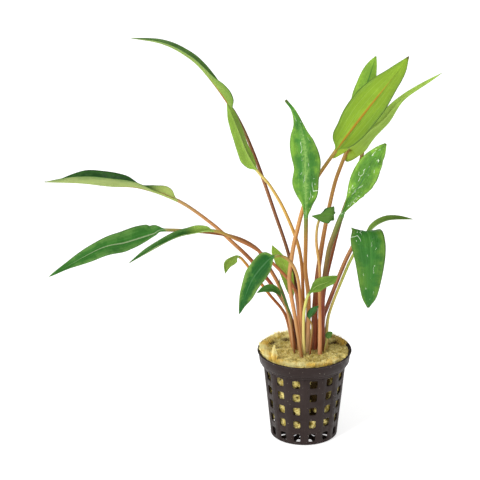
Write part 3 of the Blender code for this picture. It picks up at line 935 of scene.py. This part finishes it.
def blade_group():
    """Shader group: a blade's colour and relief, with its midrib, arching side veins, band and mottling."""
    tree, given, result = new_tree(
        "blade_colour", "ShaderNodeTree",
        [("Ring", "Vector"), ("Place", "Vector")]
        + [(part, "Float") for part in ("Edge", "Rib width", "Rib reach", "Vein strength", "Band strength",
                                        "Base reach", "Tip darkness")]
        + [(part, "Color") for part in ("Top", "Margin", "Underside", "Rib", "Band", "Base")],
        [("Color", "Color"), ("Height", "Float")])
    parts = wire(tree, "ShaderNodeSeparateXYZ", {0: given["Ring"]}).outputs
    edge = given["Edge"]
    t = maths(tree, "SUBTRACT", parts["Z"], 1.0)
    turned = ramp(tree, parts["Y"], -0.12, -0.02, 1.0, 0.0)

    lengthwise = combine(tree, X=times(tree, edge, 9.0), Y=times(tree, t, 2.5), Z=parts["Y"])
    lines = grain(tree, lengthwise, 3.0, 0.36, 0.66, 5)
    veins = ramp(tree, maths(tree, "PINGPONG", edge, 0.14), 0.006, 0.028, 1.0, 0.0)
    veins = times(tree, veins, ramp(tree, edge, 0.10, 0.16))
    cells = grain(tree, given["Place"], 700, 0.42, 0.60, 2)
    clouds = grain(tree, given["Place"], 120, 0.34, 0.66, 3)

    spread = add(tree, maths(tree, "POWER", edge, 1.7), ramp(tree, clouds, 0, 1, -0.25, 0.25))
    spread = times(tree, ramp(tree, spread, 0.05, 0.95), ramp(tree, turned, 0, 1, 1.0, 0.5))
    colour = mix(tree, turned, given["Top"], given["Underside"])
    colour = mix(tree, spread, colour, given["Margin"])
    band = times(tree, ramp(tree, edge, 0.08, 0.34, 1.0, 0.0), ramp(tree, cells, 0, 1, 0.25, 1.0),
                 given["Band strength"], ramp(tree, t, 0.62, 0.80, 1.0, 0.1))
    colour = mix(tree, band, colour, given["Band"])
    shaded = wire(tree, "ShaderNodeHueSaturation", {"Value": 0.60, "Color": colour}).outputs[0]
    colour = mix(tree, ramp(tree, lines, 0, 1, 0.0, 0.42), colour, shaded)
    colour = mix(tree, ramp(tree, clouds, 0, 1, 0.38, 0.0), colour, shaded)

    light = wire(tree, "ShaderNodeHueSaturation", {
        "Saturation": 0.85, "Value": 1.35, "Color": colour}).outputs[0]
    colour = mix(tree, times(tree, veins, given["Vein strength"]), colour, light)
    colour = mix(tree, ramp(tree, edge, 0.93, 1.0, 0.0, 0.55), colour, light)
    based = maths(tree, "SUBTRACT", t, given["Base reach"])
    colour = mix(tree, ramp(tree, based, -0.12, 0.06, 1.0, 0.0), colour, given["Base"])
    rib_width = times(tree, given["Rib width"], ramp(tree, t, 0, 0.9, 1.7, 0.55))
    narrow = maths(tree, "DIVIDE", edge, rib_width)
    fading = maths(tree, "SUBTRACT", t, given["Rib reach"])
    rib = times(tree, ramp(tree, narrow, 0.5, 1.1, 1.0, 0.0), ramp(tree, fading, -0.3, 0.0, 1.0, 0.0))
    colour = mix(tree, rib, colour, given["Rib"])
    point = times(tree, ramp(tree, t, 0.955, 0.995), given["Tip darkness"])
    tree.links.new(mix(tree, point, colour, (0.09, 0.055, 0.015)), result["Color"])
    relief = add(tree, times(tree, veins, -0.7), times(tree, cells, 0.45), times(tree, lines, 0.5))
    tree.links.new(relief, result["Height"])
    return tree


STALK_COLOUR = stalk_group()
BLADE_COLOUR = blade_group()
PEACH = (0.56, 0.235, 0.08)
PINK = (0.60, 0.28, 0.14)
ORANGE = (0.54, 0.20, 0.045)
GOLD = (0.66, 0.40, 0.08)
OLIVE = (0.27, 0.22, 0.055)
BROWN = (0.22, 0.085, 0.028)
# The next colour is the default colour of the stalks' painted shade.
RUST_SHADE = (0.40, 0.115, 0.035)
MAROON = (0.12, 0.022, 0.016)
STRAW = (0.60, 0.52, 0.13)
DEEP_RED = (0.085, 0.014, 0.010)
PALE_GREEN = (0.30, 0.50, 0.13)
# The colour of the painted glints on wet leaves.
PAINTED_GLINT = (0.86, 0.95, 0.76)
LEAF_RELIEF = 0.00022


def pigment(colour):
    """A leaf's colour as seen, less the pale sheen that its cuticle adds."""
    return (*[max(0.003, channel * 0.92 - 0.012) for channel in colour], 1)


def leaf_skin(name, stalk, top, margin, under, rib, shade=RUST_SHADE, shading_strength=0.8, rib_width=0.06,
              rib_reach=0.9, veins=0.3, band=0.0, band_colour=PALE_GREEN, base=None, base_reach=-0.1,
              tip=0.3, gloss=0.40, relief=0.35, wet_glints=0.0):
    """A leaf's material: stalk and blade colours that meet at the neck, the stalk with painted shade and
    highlight, satin, and wet in spots with painted glints.
    """
    made, tree, shader, place = new_material(name)
    ring = read(tree, "ring", "Vector")
    edge = read(tree, "edge")
    foot, low, high, neck = map(pigment, stalk)
    # The stalk colour carries painted shade on the side away from the key light and a painted highlight on
    # its lit side.
    stem = wire(tree, "ShaderNodeGroup", {
        "Ring": ring, "Painted shade": read(tree, "painted_shade"), "Shading strength": shading_strength, "Shade": pigment(shade),
        "Foot": foot, "Low": low, "High": high, "Neck": neck}, node_tree=STALK_COLOUR).outputs
    leafy = wire(tree, "ShaderNodeGroup", {
        "Ring": ring, "Place": place, "Edge": edge, "Rib width": rib_width, "Rib reach": rib_reach,
        "Vein strength": veins, "Band strength": band, "Base reach": base_reach, "Tip darkness": tip,
        "Top": pigment(top), "Margin": pigment(margin), "Underside": pigment(under), "Rib": pigment(rib),
        "Band": pigment(band_colour), "Base": pigment(base or margin)}, node_tree=BLADE_COLOUR).outputs
    along = wire(tree, "ShaderNodeSeparateXYZ", {0: ring}).outputs["Z"]
    is_blade = ramp(tree, add(tree, along, times(tree, edge, 0.03)), 0.985, 1.03)
    colour = mix(tree, is_blade, stem["Color"], leafy["Color"])
    satin = ramp(tree, grain(tree, place, 380, 0.36, 0.64), 0, 1, gloss * 0.95, gloss * 1.45)
    raised = times(tree, leafy["Height"], is_blade)
    if wet_glints:
        spread = stretch(tree, ring, (3.2, 0.4, 9))
        film = times(tree, grain(tree, spread, 1.1, 0.62 - 0.10 * wet_glints, 0.66 - 0.10 * wet_glints, 1), is_blade)
        satin = add(tree, satin, times(tree, film, 0.18 - gloss))
        beads = times(tree, grain(tree, spread, 3.4, 0.36, 0.64, 1), film)
        raised = add(tree, raised, times(tree, beads, 2.4))
        # Painted glints: thin pale streaks in the wet patches are mixed into the base colour.
        ridges = maths(tree, "ABSOLUTE", maths(tree, "SUBTRACT", grain(tree, spread, 2.0, 0, 1, 0), 0.5))
        streaks = times(tree, ramp(tree, ridges, 0.033 * wet_glints, 0.04 + 0.055 * wet_glints, 1.0, 0.0), is_blade)
        patches = grain(tree, spread, 0.9, 0.67 - 0.06 * wet_glints, 0.70 - 0.06 * wet_glints, 1)
        colour = mix(tree, times(tree, streaks, patches), colour, PAINTED_GLINT)
    feed(tree, shader, {"Base Color": colour, "Roughness": satin, "Specular IOR Level": 0.13 + 0.12 * wet_glints,
                        "Normal": bump(tree, raised, LEAF_RELIEF, relief)})
    return made


# The leaves that lean to the left. The tall ones arch over to long drooping points, the near ones are
# darker and blunter, and the short ones fill the space between their stalks.
grow("tall_arching_leaf", leaf_skin(
        "tall_arching_green", (DEEP_RED, (0.13, 0.024, 0.016), (0.21, 0.055, 0.024), (0.22, 0.15, 0.05)),
        top=(0.085, 0.215, 0.035), margin=(0.12, 0.27, 0.045), under=(0.30, 0.44, 0.085),
        rib=(0.38, 0.17, 0.05), rib_width=0.09, rib_reach=0.40, veins=0.35, tip=0.1, shade=DEEP_RED),
     stalk=[(-1.3, 4.2), (-4, 7, 81), (-9, 10, 107), (-17, 15, 131), (-30, 23, 167)],
     blade=[(-41.2, 27.3, 190.5), (-58, 32, 213), (-70, 34, 223), (-83, 35, 229), (-100, 35, 232)],
     across=(0, -1, 0), stalk_width=2.8, seed=1,
     right=[1.2, 4.6, 5.6, 5.4, 5.2, 5.0, 4.8, 4.2, 3.2, 2.0, 0.2],
     left=[1.2, 4.0, 5.6, 6.4, 6.6, 6.4, 5.8, 4.9, 3.6, 2.0, 0.2],
     right_fold=[60, 74, 60, 34, 27, 27, 27, 27, 27, 27, 27], left_fold=16)
grow("bright_folded_leaf", leaf_skin(
        "bright_folded_green", (PEACH, ORANGE, GOLD, STRAW),
        top=(0.24, 0.44, 0.055), margin=(0.30, 0.50, 0.065), under=(0.28, 0.45, 0.07),
        rib=(0.36, 0.50, 0.12), rib_width=0.05, veins=0.25, gloss=0.32),
     stalk=[(-0.4, -1.4), (-1, 0, 84), (-3, 1, 113), (-11, 3, 136), (-20, 6, 152)],
     blade=[(-28, 9, 161), (-34, 11, 171), (-39, 13, 184), (-45, 16, 199)],
     across=(0.8, 0.5, 0.4), stalk_width=2.3, seed=2,
     right=[0.8, 2.4, 3.4, 3.8, 4.1, 4.4, 4.7, 4.6, 4.0, 2.6, 0.3],
     left=[0.9, 3.8, 5.2, 4.8, 4.5, 4.2, 4.0, 3.6, 3.0, 1.6, 0.2],
     right_fold=[10, 12, 14, 18, 24, 28, 28, 26, 24, 22, 20], left_fold=14, ripple=0.2)
grow("long_left_leaf", leaf_skin(
        "long_left_green", (MAROON, (0.26, 0.036, 0.024), (0.44, 0.17, 0.05), (0.40, 0.24, 0.08)),
        top=(0.028, 0.10, 0.022), margin=(0.05, 0.15, 0.03), under=(0.39, 0.49, 0.155),
        rib=(0.38, 0.16, 0.065), rib_width=0.11, rib_reach=0.50, veins=0.15,
        base=(0.35, 0.44, 0.115), base_reach=0.22, tip=0.2),
     stalk=[(-3, 0.8), (-8.6, 1.4, 74), (-17, 1, 90), (-31, 2, 108), (-43, 4, 119.5), (-54, 7, 129)],
     blade=[(-73, 12, 141), (-95, 18, 147), (-113, 21, 147), (-130, 23, 148), (-151, 24, 148)],
     across=(0, -1, 0), stalk_width=2.6, taper=0.1, seed=3,
     right=[0.8, 0.9, 1.2, 3.6, 6.2, 7.6, 7.8, 7.2, 6.0, 3.6, 0.2],
     left=[0.8, 5.0, 3.4, 1.8, 6.0, 8.0, 8.3, 7.8, 5.0, 1.6, 0.2],
     right_fold=[20, 30, 50, 55, 55, 55, 55, 54, 52, 50, 45],
     left_fold=[80, 74, 66, 58, 55, 55, 55, 55, 54, 52, 48])
grow("broad_left_leaf", leaf_skin(
        "broad_left_green", (PINK, (0.55, 0.24, 0.09), (0.26, 0.095, 0.03), (0.28, 0.27, 0.07)),
        top=(0.058, 0.215, 0.038), margin=(0.13, 0.30, 0.068), under=(0.20, 0.34, 0.10),
        rib=(0.31, 0.42, 0.22), rib_width=0.06, rib_reach=1.0, veins=0.4, tip=0.1, shade=MAROON),
     stalk=[(-4.9, -2), (-8.5, -3, 72.5), (-13.7, -4.2, 91.5), (-20, -6.5, 105.5), (-29, -10, 121),
            (-47, -15, 131)],
     blade=[(-79.5, -22, 136.5), (-87, -25, 135.1), (-102, -30.5, 132.3), (-117, -36, 130.5),
            (-145, -44, 117)],
     across=(-0.1, -0.85, -0.5), stalk_width=2.6, seed=4,
     right=[0.9, 2.0, 3.8, 5.6, 7.2, 7.6, 7.0, 5.8, 4.2, 2.2, 0.2],
     left=[0.8, 6.4, 7.8, 7.6, 6.9, 5.8, 4.8, 4.0, 3.3, 2.2, 0.2],
     right_fold=8, left_fold=10, ripple=0.5, waves=2.5)
grow("narrow_left_leaf", leaf_skin(
        "narrow_left_green", (PEACH, (0.50, 0.17, 0.07), (0.50, 0.20, 0.08), (0.42, 0.38, 0.08)),
        top=(0.070, 0.225, 0.045), margin=(0.13, 0.28, 0.075), under=(0.24, 0.36, 0.085),
        rib=(0.20, 0.32, 0.11), base=(0.30, 0.46, 0.090), base_reach=0.28, tip=0.1),
     stalk=[(-3.2, -4.2), (-3.8, -5.5, 84), (-7, -6, 95), (-13, -7.5, 104), (-27, -13, 120),
            (-40, -17, 129)],
     blade=[(-52.5, -21.8, 136), (-66, -26, 136), (-76, -31, 134.7), (-89, -36.6, 129.2), (-100, -40, 123.7)],
     across=(0, -0.95, -0.3), stalk_width=2.4, seed=5,
     right=[0.8, 2.2, 3.0, 3.8, 4.2, 4.4, 4.2, 3.8, 3.0, 1.6, 0.2],
     left=[1.0, 3.0, 4.0, 3.6, 3.4, 3.2, 3.0, 2.8, 2.4, 1.4, 0.2],
     right_fold=40, left_fold=60, ripple=0.3)
grow("hanging_front_leaf", leaf_skin(
        "hanging_front_green", (PINK, PEACH, (0.52, 0.34, 0.11), (0.25, 0.30, 0.07)),
        top=(0.034, 0.165, 0.035), margin=(0.19, 0.36, 0.070), under=(0.20, 0.34, 0.10),
        rib=(0.075, 0.21, 0.075), rib_width=0.05, veins=0.35, gloss=0.30, tip=0.1),
     stalk=[(-1.4, -6.2), (-2.6, -11.5, 85), (-5, -17, 106.5), (-10.5, -22.8, 119)],
     blade=[(-18, -26, 122), (-25, -29, 117), (-31, -31, 109), (-35, -32, 99), (-38, -32, 89)],
     across=(0.85, 0.3, -0.3), stalk_width=2.3, seed=6,
     right=[0.9, 4.0, 6.6, 7.2, 7.2, 7.0, 6.2, 5.2, 4.0, 2.0, 0.2],
     left=[1.4, 6.0, 7.0, 6.6, 6.2, 5.2, 4.4, 3.6, 2.6, 1.6, 0.2],
     right_fold=-6, left_fold=-4, ripple=0.3)
grow("small_left_leaf", leaf_skin(
        "small_left_green", (PEACH, (0.30, 0.10, 0.04), ORANGE, GOLD),
        top=(0.25, 0.40, 0.065), margin=(0.28, 0.43, 0.075), under=(0.30, 0.43, 0.10),
        rib=(0.36, 0.46, 0.12)),
     stalk=[(-6, 0.4), (-8.3, -0.3, 64), (-12.2, -1.4, 77), (-21, -3.5, 89.5), (-33, -7, 108)],
     blade=[(-38, -10, 115), (-42, -11, 114), (-45, -12, 111), (-46, -13, 106)],
     across=(0.7, 0.4, -0.4), stalk_width=2.1, seed=7,
     right=[0.5, 2.6, 3.2, 3.6, 3.6, 3.4, 3.0, 2.5, 1.7, 0.9, 0.1],
     left=[0.5, 1.8, 2.2, 2.5, 2.9, 3.3, 3.1, 2.3, 1.6, 1.0, 0.1])
grow("small_dark_leaf", leaf_skin(
        "small_dark_green", (MAROON, BROWN, OLIVE, OLIVE),
        top=(0.065, 0.20, 0.040), margin=(0.13, 0.29, 0.050), under=(0.16, 0.28, 0.06),
        rib=(0.12, 0.22, 0.06)),
     stalk=[(-5.6, -7.4), (-8.4, -9.3, 75)],
     blade=[(-14, -12, 91), (-18, -12, 96), (-23, -12, 96), (-28, -13, 94)],
     across=(0, -0.8, -0.6), stalk_width=1.2, seed=8,
     right=[0.5, 1.8, 2.5, 2.7, 2.8, 2.9, 2.8, 2.3, 1.7, 1.0, 0.1],
     left=[0.5, 1.5, 2.0, 2.2, 2.4, 2.5, 2.5, 2.1, 1.5, 0.8, 0.1])
grow("young_leaf", leaf_skin(
        "young_green", (MAROON, MAROON, (0.16, 0.10, 0.03), (0.11, 0.16, 0.04)),
        top=(0.055, 0.15, 0.03), margin=(0.08, 0.20, 0.04), under=(0.12, 0.24, 0.05),
        rib=(0.12, 0.22, 0.06)),
     stalk=[(-6, -4.6), (-7.3, -6.3, 71)],
     blade=[(-8.5, -6.6, 78), (-11, -7, 86), (-13.6, -7.2, 93), (-15.2, -7.6, 101)],
     across=(0.7, 0.7, 0.2), stalk_width=1.2, seed=9,
     right=[0.4, 0.6, 0.8, 0.9, 0.9, 0.8, 0.8, 0.7, 0.5, 0.3, 0.1], right_fold=30, left_fold=30)
grow("inner_light_leaf", leaf_skin(
        "inner_light_green", (ORANGE, GOLD, STRAW, STRAW),
        top=(0.29, 0.49, 0.060), margin=(0.33, 0.53, 0.065), under=(0.34, 0.54, 0.075),
        rib=(0.36, 0.46, 0.12)),
     stalk=[(-4.4, 3), (-5, 3.5, 70)],
     blade=[(-7, 3, 84), (-9, 3, 94), (-12, 3, 104), (-19, 3, 117)],
     across=(0.95, 0.2, 0.3), stalk_width=1.4, seed=10,
     right=[0.6, 1.6, 2.4, 3.3, 4.0, 4.2, 4.2, 3.8, 3.0, 1.8, 0.2],
     left=[0.7, 2.2, 3.0, 3.4, 3.8, 4.0, 4.0, 3.8, 3.2, 2.4, 0.2], right_fold=-40, left_fold=5)

# The leaves in the middle: one tall and wavy in front of its neighbours, a small bent one beside it,
# and two short new ones low in front.
grow("upright_middle_leaf", leaf_skin(
        "upright_middle_green",
        ((0.90, 0.62, 0.33), (0.54, 0.245, 0.075), (0.36, 0.16, 0.032), (0.10, 0.20, 0.030)), shading_strength=0.45,
        top=(0.075, 0.27, 0.040), margin=(0.21, 0.43, 0.050), under=(0.24, 0.38, 0.09),
        rib=(0.24, 0.44, 0.10), rib_width=0.04, band=0.80, band_colour=(0.33, 0.57, 0.14), veins=0.20,
        gloss=0.34, tip=0.6, wet_glints=0.55),
     stalk=[(1.2, -5.2), (2, -7, 86), (0, -8, 106), (0, -9, 121)],
     blade=[(0, -10, 139), (-0.5, -12, 163), (-0.9, -13, 178.5), (-2.2, -14, 190.9), (-4.5, -15.5, 199.5),
            (-8, -16.8, 206.8), (-12.1, -18, 213.1)],
     across=(-1, -0.15, -0.1), stalk_width=2.6, taper=0.08, seed=11,
     right=[1.2, 2.1, 5.7, 7.6, 6.5, 7.7, 8.2, 6.6, 3.2, 1.2, 0.8],
     left=[1.4, 4.4, 7.4, 8.6, 9.0, 8.8, 6.3, 2.8, 1.7, 1.2, 0.7],
     right_fold=-8, left_fold=-12, ripple=0.9, waves=4, pucker=0.35)
grow("small_centre_leaf", leaf_skin(
        "small_centre_green", (PINK, PEACH, (0.46, 0.26, 0.065), (0.34, 0.28, 0.06)),
        top=(0.050, 0.16, 0.028), margin=(0.075, 0.20, 0.034), under=(0.12, 0.26, 0.045),
        rib=(0.10, 0.22, 0.05)),
     stalk=[(8.8, -8.3), (8.6, -10.5, 72), (8.2, -12.3, 90), (8, -13, 109), (6, -12, 126)],
     blade=[(7.5, -10.5, 138), (12, -9.5, 141.5), (16, -11.5, 143), (14.5, -14.5, 143), (9.5, -16, 142.5),
            (3, -17, 143)],
     across=(0.1, -0.2, 0.95), stalk_width=2.2, seed=12,
     right=[0.6, 2.6, 3.6, 4.0, 3.6, 4.5, 4.8, 3.4, 1.8, 1.0, 0.2],
     left=[0.6, 2.6, 3.7, 4.4, 4.5, 6.0, 6.9, 5.6, 3.7, 1.9, 0.2])
grow("small_front_leaf", leaf_skin(
        "small_front_green", ((0.72, 0.58, 0.22), (0.74, 0.64, 0.20), (0.62, 0.62, 0.16), (0.42, 0.50, 0.10)),
        top=(0.13, 0.25, 0.035), margin=(0.18, 0.31, 0.045), under=(0.24, 0.38, 0.07),
        rib=(0.28, 0.40, 0.10), gloss=0.28, shade=OLIVE, shading_strength=0.6),
     stalk=[(-0.6, -9.8), (-1, -14, 77), (0, -17, 89)],
     blade=[(2, -19, 96), (6, -20, 101), (12, -21, 104), (18, -21, 108)],
     across=(-0.5, 0.4, 0.75), stalk_width=2.2, seed=13,
     right=[0.5, 0.8, 1.6, 2.8, 3.8, 4.0, 4.0, 3.4, 2.6, 1.5, 0.1],
     left=[0.5, 1.2, 2.6, 3.6, 3.8, 3.2, 2.7, 2.7, 3.0, 2.0, 0.2])
grow("low_folded_leaf", leaf_skin(
        "low_folded_green", (MAROON, BROWN, OLIVE, OLIVE),
        top=(0.035, 0.11, 0.022), margin=(0.06, 0.15, 0.03), under=(0.04, 0.145, 0.040),
        rib=(0.09, 0.17, 0.05), gloss=0.2),
     stalk=[(2.6, -9.6), (4, -11.5, 71)],
     blade=[(2.5, -13.5, 78), (4, -14.5, 82), (7.5, -15.5, 87)],
     across=(0.8, 0.3, -0.45), stalk_width=1.2, seed=14,
     right=[0.5, 1.6, 2.2, 2.6, 2.7, 2.7, 2.5, 2.1, 1.6, 0.9, 0.1], right_fold=25, left_fold=25)

# The leaves that lean to the right: a broad one turned pale side out, two behind it, a puckered glossy
# one in front, one that hangs down, a slim one that arches over behind that, and a seedling.
grow("big_upper_leaf", leaf_skin(
        "big_upper_green", ((0.30, 0.15, 0.05), (0.60, 0.28, 0.11), (0.56, 0.26, 0.06), (0.50, 0.36, 0.075)),
        top=(0.27, 0.44, 0.045), margin=(0.17, 0.32, 0.042), under=(0.31, 0.50, 0.046),
        rib=(0.44, 0.25, 0.03), rib_width=0.058, rib_reach=0.85, veins=0.30, tip=0.95),
     stalk=[(-1.5, -13.2), (-5.6, -12.7, 77), (-9.2, -11.5, 99), (-8.3, -8.5, 111.5), (-5.5, -4, 126),
            (2, 1, 151)],
     blade=[(17, 6, 174), (25, 8, 185), (35, 10, 198), (46, 12, 212), (58, 14, 228)],
     across=(0.79, 0.1, -0.6), stalk_width=2.7, sheath=-0.25, taper=0.2, seed=15,
     right=[1.4, 6.8, 8.8, 9.8, 9.9, 9.4, 8.4, 7.3, 6.0, 3.9, 0.4],
     left=[1.2, 6.9, 8.5, 10.3, 11.1, 11.0, 10.0, 8.2, 5.4, 2.8, 0.3],
     right_fold=8, left_fold=8, ripple=0.35)
grow("back_upper_leaf", leaf_skin(
        "back_upper_green", (MAROON, (0.34, 0.085, 0.038), (0.36, 0.13, 0.045), (0.28, 0.42, 0.06)),
        top=(0.26, 0.49, 0.058), margin=(0.32, 0.56, 0.062), under=(0.24, 0.40, 0.07),
        rib=(0.10, 0.24, 0.045), rib_width=0.13, rib_reach=1.1, shade=MAROON),
     stalk=[(7.2, 2), (11.2, 6, 88), (15, 11, 106), (21, 18, 128), (32, 29, 157)],
     blade=[(34, 36, 176), (33.5, 39, 187), (35, 42, 198), (41, 47, 217)],
     across=(-1, 0.1, 0.1), stalk_width=2.7, taper=0.15, seed=16,
     right=[0.9, 3.4, 5.4, 6.6, 7.2, 6.9, 6.2, 5.6, 4.8, 3.2, 0.4],
     left=[0.9, 3.0, 4.6, 5.6, 6.0, 5.9, 5.3, 4.5, 3.2, 1.9, 0.3],
     right_fold=-10, left_fold=-10, ripple=0.4)
grow("narrow_right_leaf", leaf_skin(
        "narrow_right_green",
        ((0.22, 0.036, 0.028), (0.30, 0.07, 0.032), (0.58, 0.29, 0.07), (0.36, 0.22, 0.045)),
        top=(0.34, 0.53, 0.10), margin=(0.43, 0.67, 0.110), under=(0.47, 0.71, 0.12),
        rib=(0.46, 0.64, 0.14), rib_width=0.05, base=(0.40, 0.58, 0.060), base_reach=0.14, veins=0.35),
     stalk=[(5.3, -3), (6.3, -1, 89), (10, 4, 119), (16, 12, 148), (20.5, 16.5, 161)],
     blade=[(24.8, 19, 170.5), (30.2, 21, 175.3), (36, 23, 179.5), (45.2, 26.5, 186), (56.7, 31, 197.7),
            (78.5, 36, 210.5)],
     across=(0.6, 0.1, -0.75), stalk_width=3.3, taper=0.35, sheath=0.35, seed=17,
     right=[8.6, 8.8, 6.6, 5.0, 4.2, 3.0, 1.9, 1.5, 1.3, 0.9, 0.1],
     left=[6.2, 6.6, 6.0, 5.0, 4.0, 3.0, 2.0, 1.6, 1.3, 0.9, 0.1],
     right_fold=4, left_fold=4, right_lobe=9.0, left_lobe=13)
grow("glossy_right_leaf", leaf_skin(
        "glossy_right_green", (BROWN, (0.26, 0.05, 0.025), (0.15, 0.12, 0.026), (0.09, 0.20, 0.030)),
        top=(0.13, 0.345, 0.040), margin=(0.27, 0.53, 0.055), under=(0.24, 0.38, 0.09),
        rib=(0.07, 0.20, 0.045), rib_width=0.05, gloss=0.36, relief=0.6, wet_glints=1.0, shade=MAROON, shading_strength=0.4),
     stalk=[(10.3, -4.4), (10, -7.5, 87), (12.8, -11, 117), (16.6, -12, 131)],
     blade=[(20, -12, 140.5), (23.8, -12, 149), (28, -12, 156.3), (32.3, -12, 163.8), (36.8, -12, 173.5),
            (44.6, -12, 185)],
     across=(-0.88, -0.1, 0.45), stalk_width=2.9, taper=0.0, seed=18,
     right=[0.9, 1.0, 2.0, 4.0, 6.0, 7.2, 7.2, 6.6, 5.2, 3.4, 0.6],
     left=[0.9, 1.6, 3.8, 5.8, 7.4, 8.3, 8.2, 7.5, 6.0, 3.8, 0.6],
     right_fold=-12, left_fold=-12, pucker=0.7)
grow("hanging_right_leaf", leaf_skin(
        "hanging_right_green", (DEEP_RED, (0.24, 0.035, 0.018), (0.30, 0.10, 0.035), (0.40, 0.20, 0.07)),
        top=(0.050, 0.20, 0.034), margin=(0.125, 0.27, 0.040), under=(0.16, 0.32, 0.08),
        rib=(0.075, 0.23, 0.045), rib_width=0.035, veins=0.3, gloss=0.34, wet_glints=0.35, shade=DEEP_RED),
     stalk=[(9.9, -0.6), (10.4, -1.5, 72), (13.2, -2.8, 82), (22, -5, 108), (27, -6, 120)],
     blade=[(29, -8, 126), (34, -12, 132), (36, -17, 130), (37, -19, 120), (37, -18, 99), (36, -16, 86)],
     across=(1, 0, 0), stalk_width=2.9, seed=19,
     right=[0.9, 6.0, 8.0, 8.6, 8.5, 7.9, 7.1, 6.1, 5.0, 3.6, 0.6],
     left=[0.9, 8.0, 10.4, 11.0, 10.2, 9.0, 8.0, 7.0, 5.8, 4.0, 0.6],
     right_fold=0, left_fold=0, pucker=0.3)
grow("slim_right_leaf", leaf_skin(
        "slim_right_green", ((0.64, 0.42, 0.16), (0.68, 0.58, 0.15), (0.50, 0.60, 0.12), (0.30, 0.38, 0.08)),
        top=(0.19, 0.34, 0.060), margin=(0.23, 0.38, 0.070), under=(0.24, 0.38, 0.08),
        rib=(0.26, 0.36, 0.11), shade=OLIVE, shading_strength=0.5),
     stalk=[(12.3, -1.9), (12.9, -0.8, 68), (15, 1.2, 78), (22, 5, 96), (27.5, 8, 108)],
     blade=[(35, 12, 119), (40, 15, 124), (46, 17, 126.7), (52, 19, 127), (63, 22, 125.7)],
     across=(0, 0.95, 0.25), stalk_width=2.1, taper=0.12, sheath=0.4, seed=20,
     right=[0.5, 1.6, 2.4, 2.8, 2.9, 2.8, 2.6, 2.3, 1.8, 1.0, 0.1], right_fold=30, left_fold=30)
grow("seedling_leaf", leaf_skin(
        "seedling_green", (STRAW, STRAW, (0.34, 0.44, 0.10), (0.16, 0.28, 0.05)),
        top=(0.095, 0.205, 0.042), margin=(0.12, 0.24, 0.05), under=(0.16, 0.28, 0.07),
        rib=(0.13, 0.23, 0.06)),
     stalk=[(11.3, -6.9), (11.6, -7.3, 56), (12.4, -7.4, 60.5)],
     blade=[(12.8, -7.4, 63), (14, -7.2, 65.2), (16, -7.2, 66.6)],
     across=(-0.1, 0.3, 0.9), stalk_width=0.9, seed=21,
     right=[0.4, 1.2, 1.6, 1.8, 1.9, 1.9, 1.8, 1.6, 1.3, 0.9, 0.1])

# The stage: a white floor that glows faintly, a key light high at the left with broad, weaker ones round
# it, a small low one at the left for the pot's side, and a white surround.
FLOOR_HALF = 6.0
FLOOR_DROP = 0.0003
SURROUND_STRENGTH = 0.36


def floor_skin():
    """Matt white board with a barely visible grain and a faint glow."""
    made, tree, shader, place = new_material("floor")
    feed(tree, shader, {
        "Base Color": mix(tree, grain(tree, place, 3), (0.86, 0.86, 0.86), (0.89, 0.89, 0.89)),
        "Roughness": 0.9, "Emission Color": (1, 1, 1, 1), "Emission Strength": 0.60})
    return made


corners = [(x * FLOOR_HALF, y * FLOOR_HALF, -FLOOR_DROP) for x, y in ((-1, -1), (1, -1), (1, 1), (-1, 1))]
board = bpy.data.meshes.new("floor")
board.from_pydata(corners, [], [(0, 1, 2, 3)])
place_mesh("floor", board, floor_skin())


def soft_light(name, place, target, size, power):
    """A square soft light at a place, turned to a target."""
    data = bpy.data.lights.new(name, "AREA")
    data.shape = "SQUARE"
    data.size = size
    data.energy = power
    lamp = bpy.data.objects.new(name, data)
    lamp.location = place
    lamp.rotation_euler = (Vector(target) - Vector(place)).to_track_quat("-Z", "Y").to_euler()
    bpy.context.scene.collection.objects.link(lamp)


soft_light("key_light", (-0.75, -0.9, 1.15), (0, 0, 0.12), 0.36, 14)
soft_light("fill_light", (1.1, -0.7, 0.8), (0, 0, 0.12), 0.9, 1.5)
soft_light("back_light", (0.2, 1.2, 1.0), (0, 0, 0.15), 0.9, 4)
soft_light("front_light", (-0.25, -1.6, 0.30), (0, 0, 0.10), 0.9, 3)
soft_light("low_light", (-0.95, -1.10, 0.10), (0, 0, 0.04), 0.22, 2.5)

surround = bpy.data.worlds.new("surround")
surround.use_nodes = True
feed(surround.node_tree, surround.node_tree.nodes["Background"], {
    "Color": (1, 1, 1, 1), "Strength": SURROUND_STRENGTH})
bpy.context.scene.world = surround
bpy.context.scene.view_settings.view_transform = "Standard"

# The camera looks down a long lens from in front and above, at the middle of the plant rather than of
# the pot.
LOOK_AT = Vector((-0.0376, 0, 0.1215))
ELEVATION = radians(22)
DISTANCE = 1.8
LENS = 234.75
SENSOR_WIDTH = 36
lens = bpy.data.cameras.new("camera")
lens.lens = LENS
lens.sensor_width = SENSOR_WIDTH
camera = bpy.data.objects.new("camera", lens)
camera.location = LOOK_AT + Vector((0, -cos(ELEVATION), sin(ELEVATION))) * DISTANCE
camera.rotation_euler = (pi / 2 - ELEVATION, 0, 0)
bpy.context.scene.collection.objects.link(camera)
bpy.context.scene.camera = camera
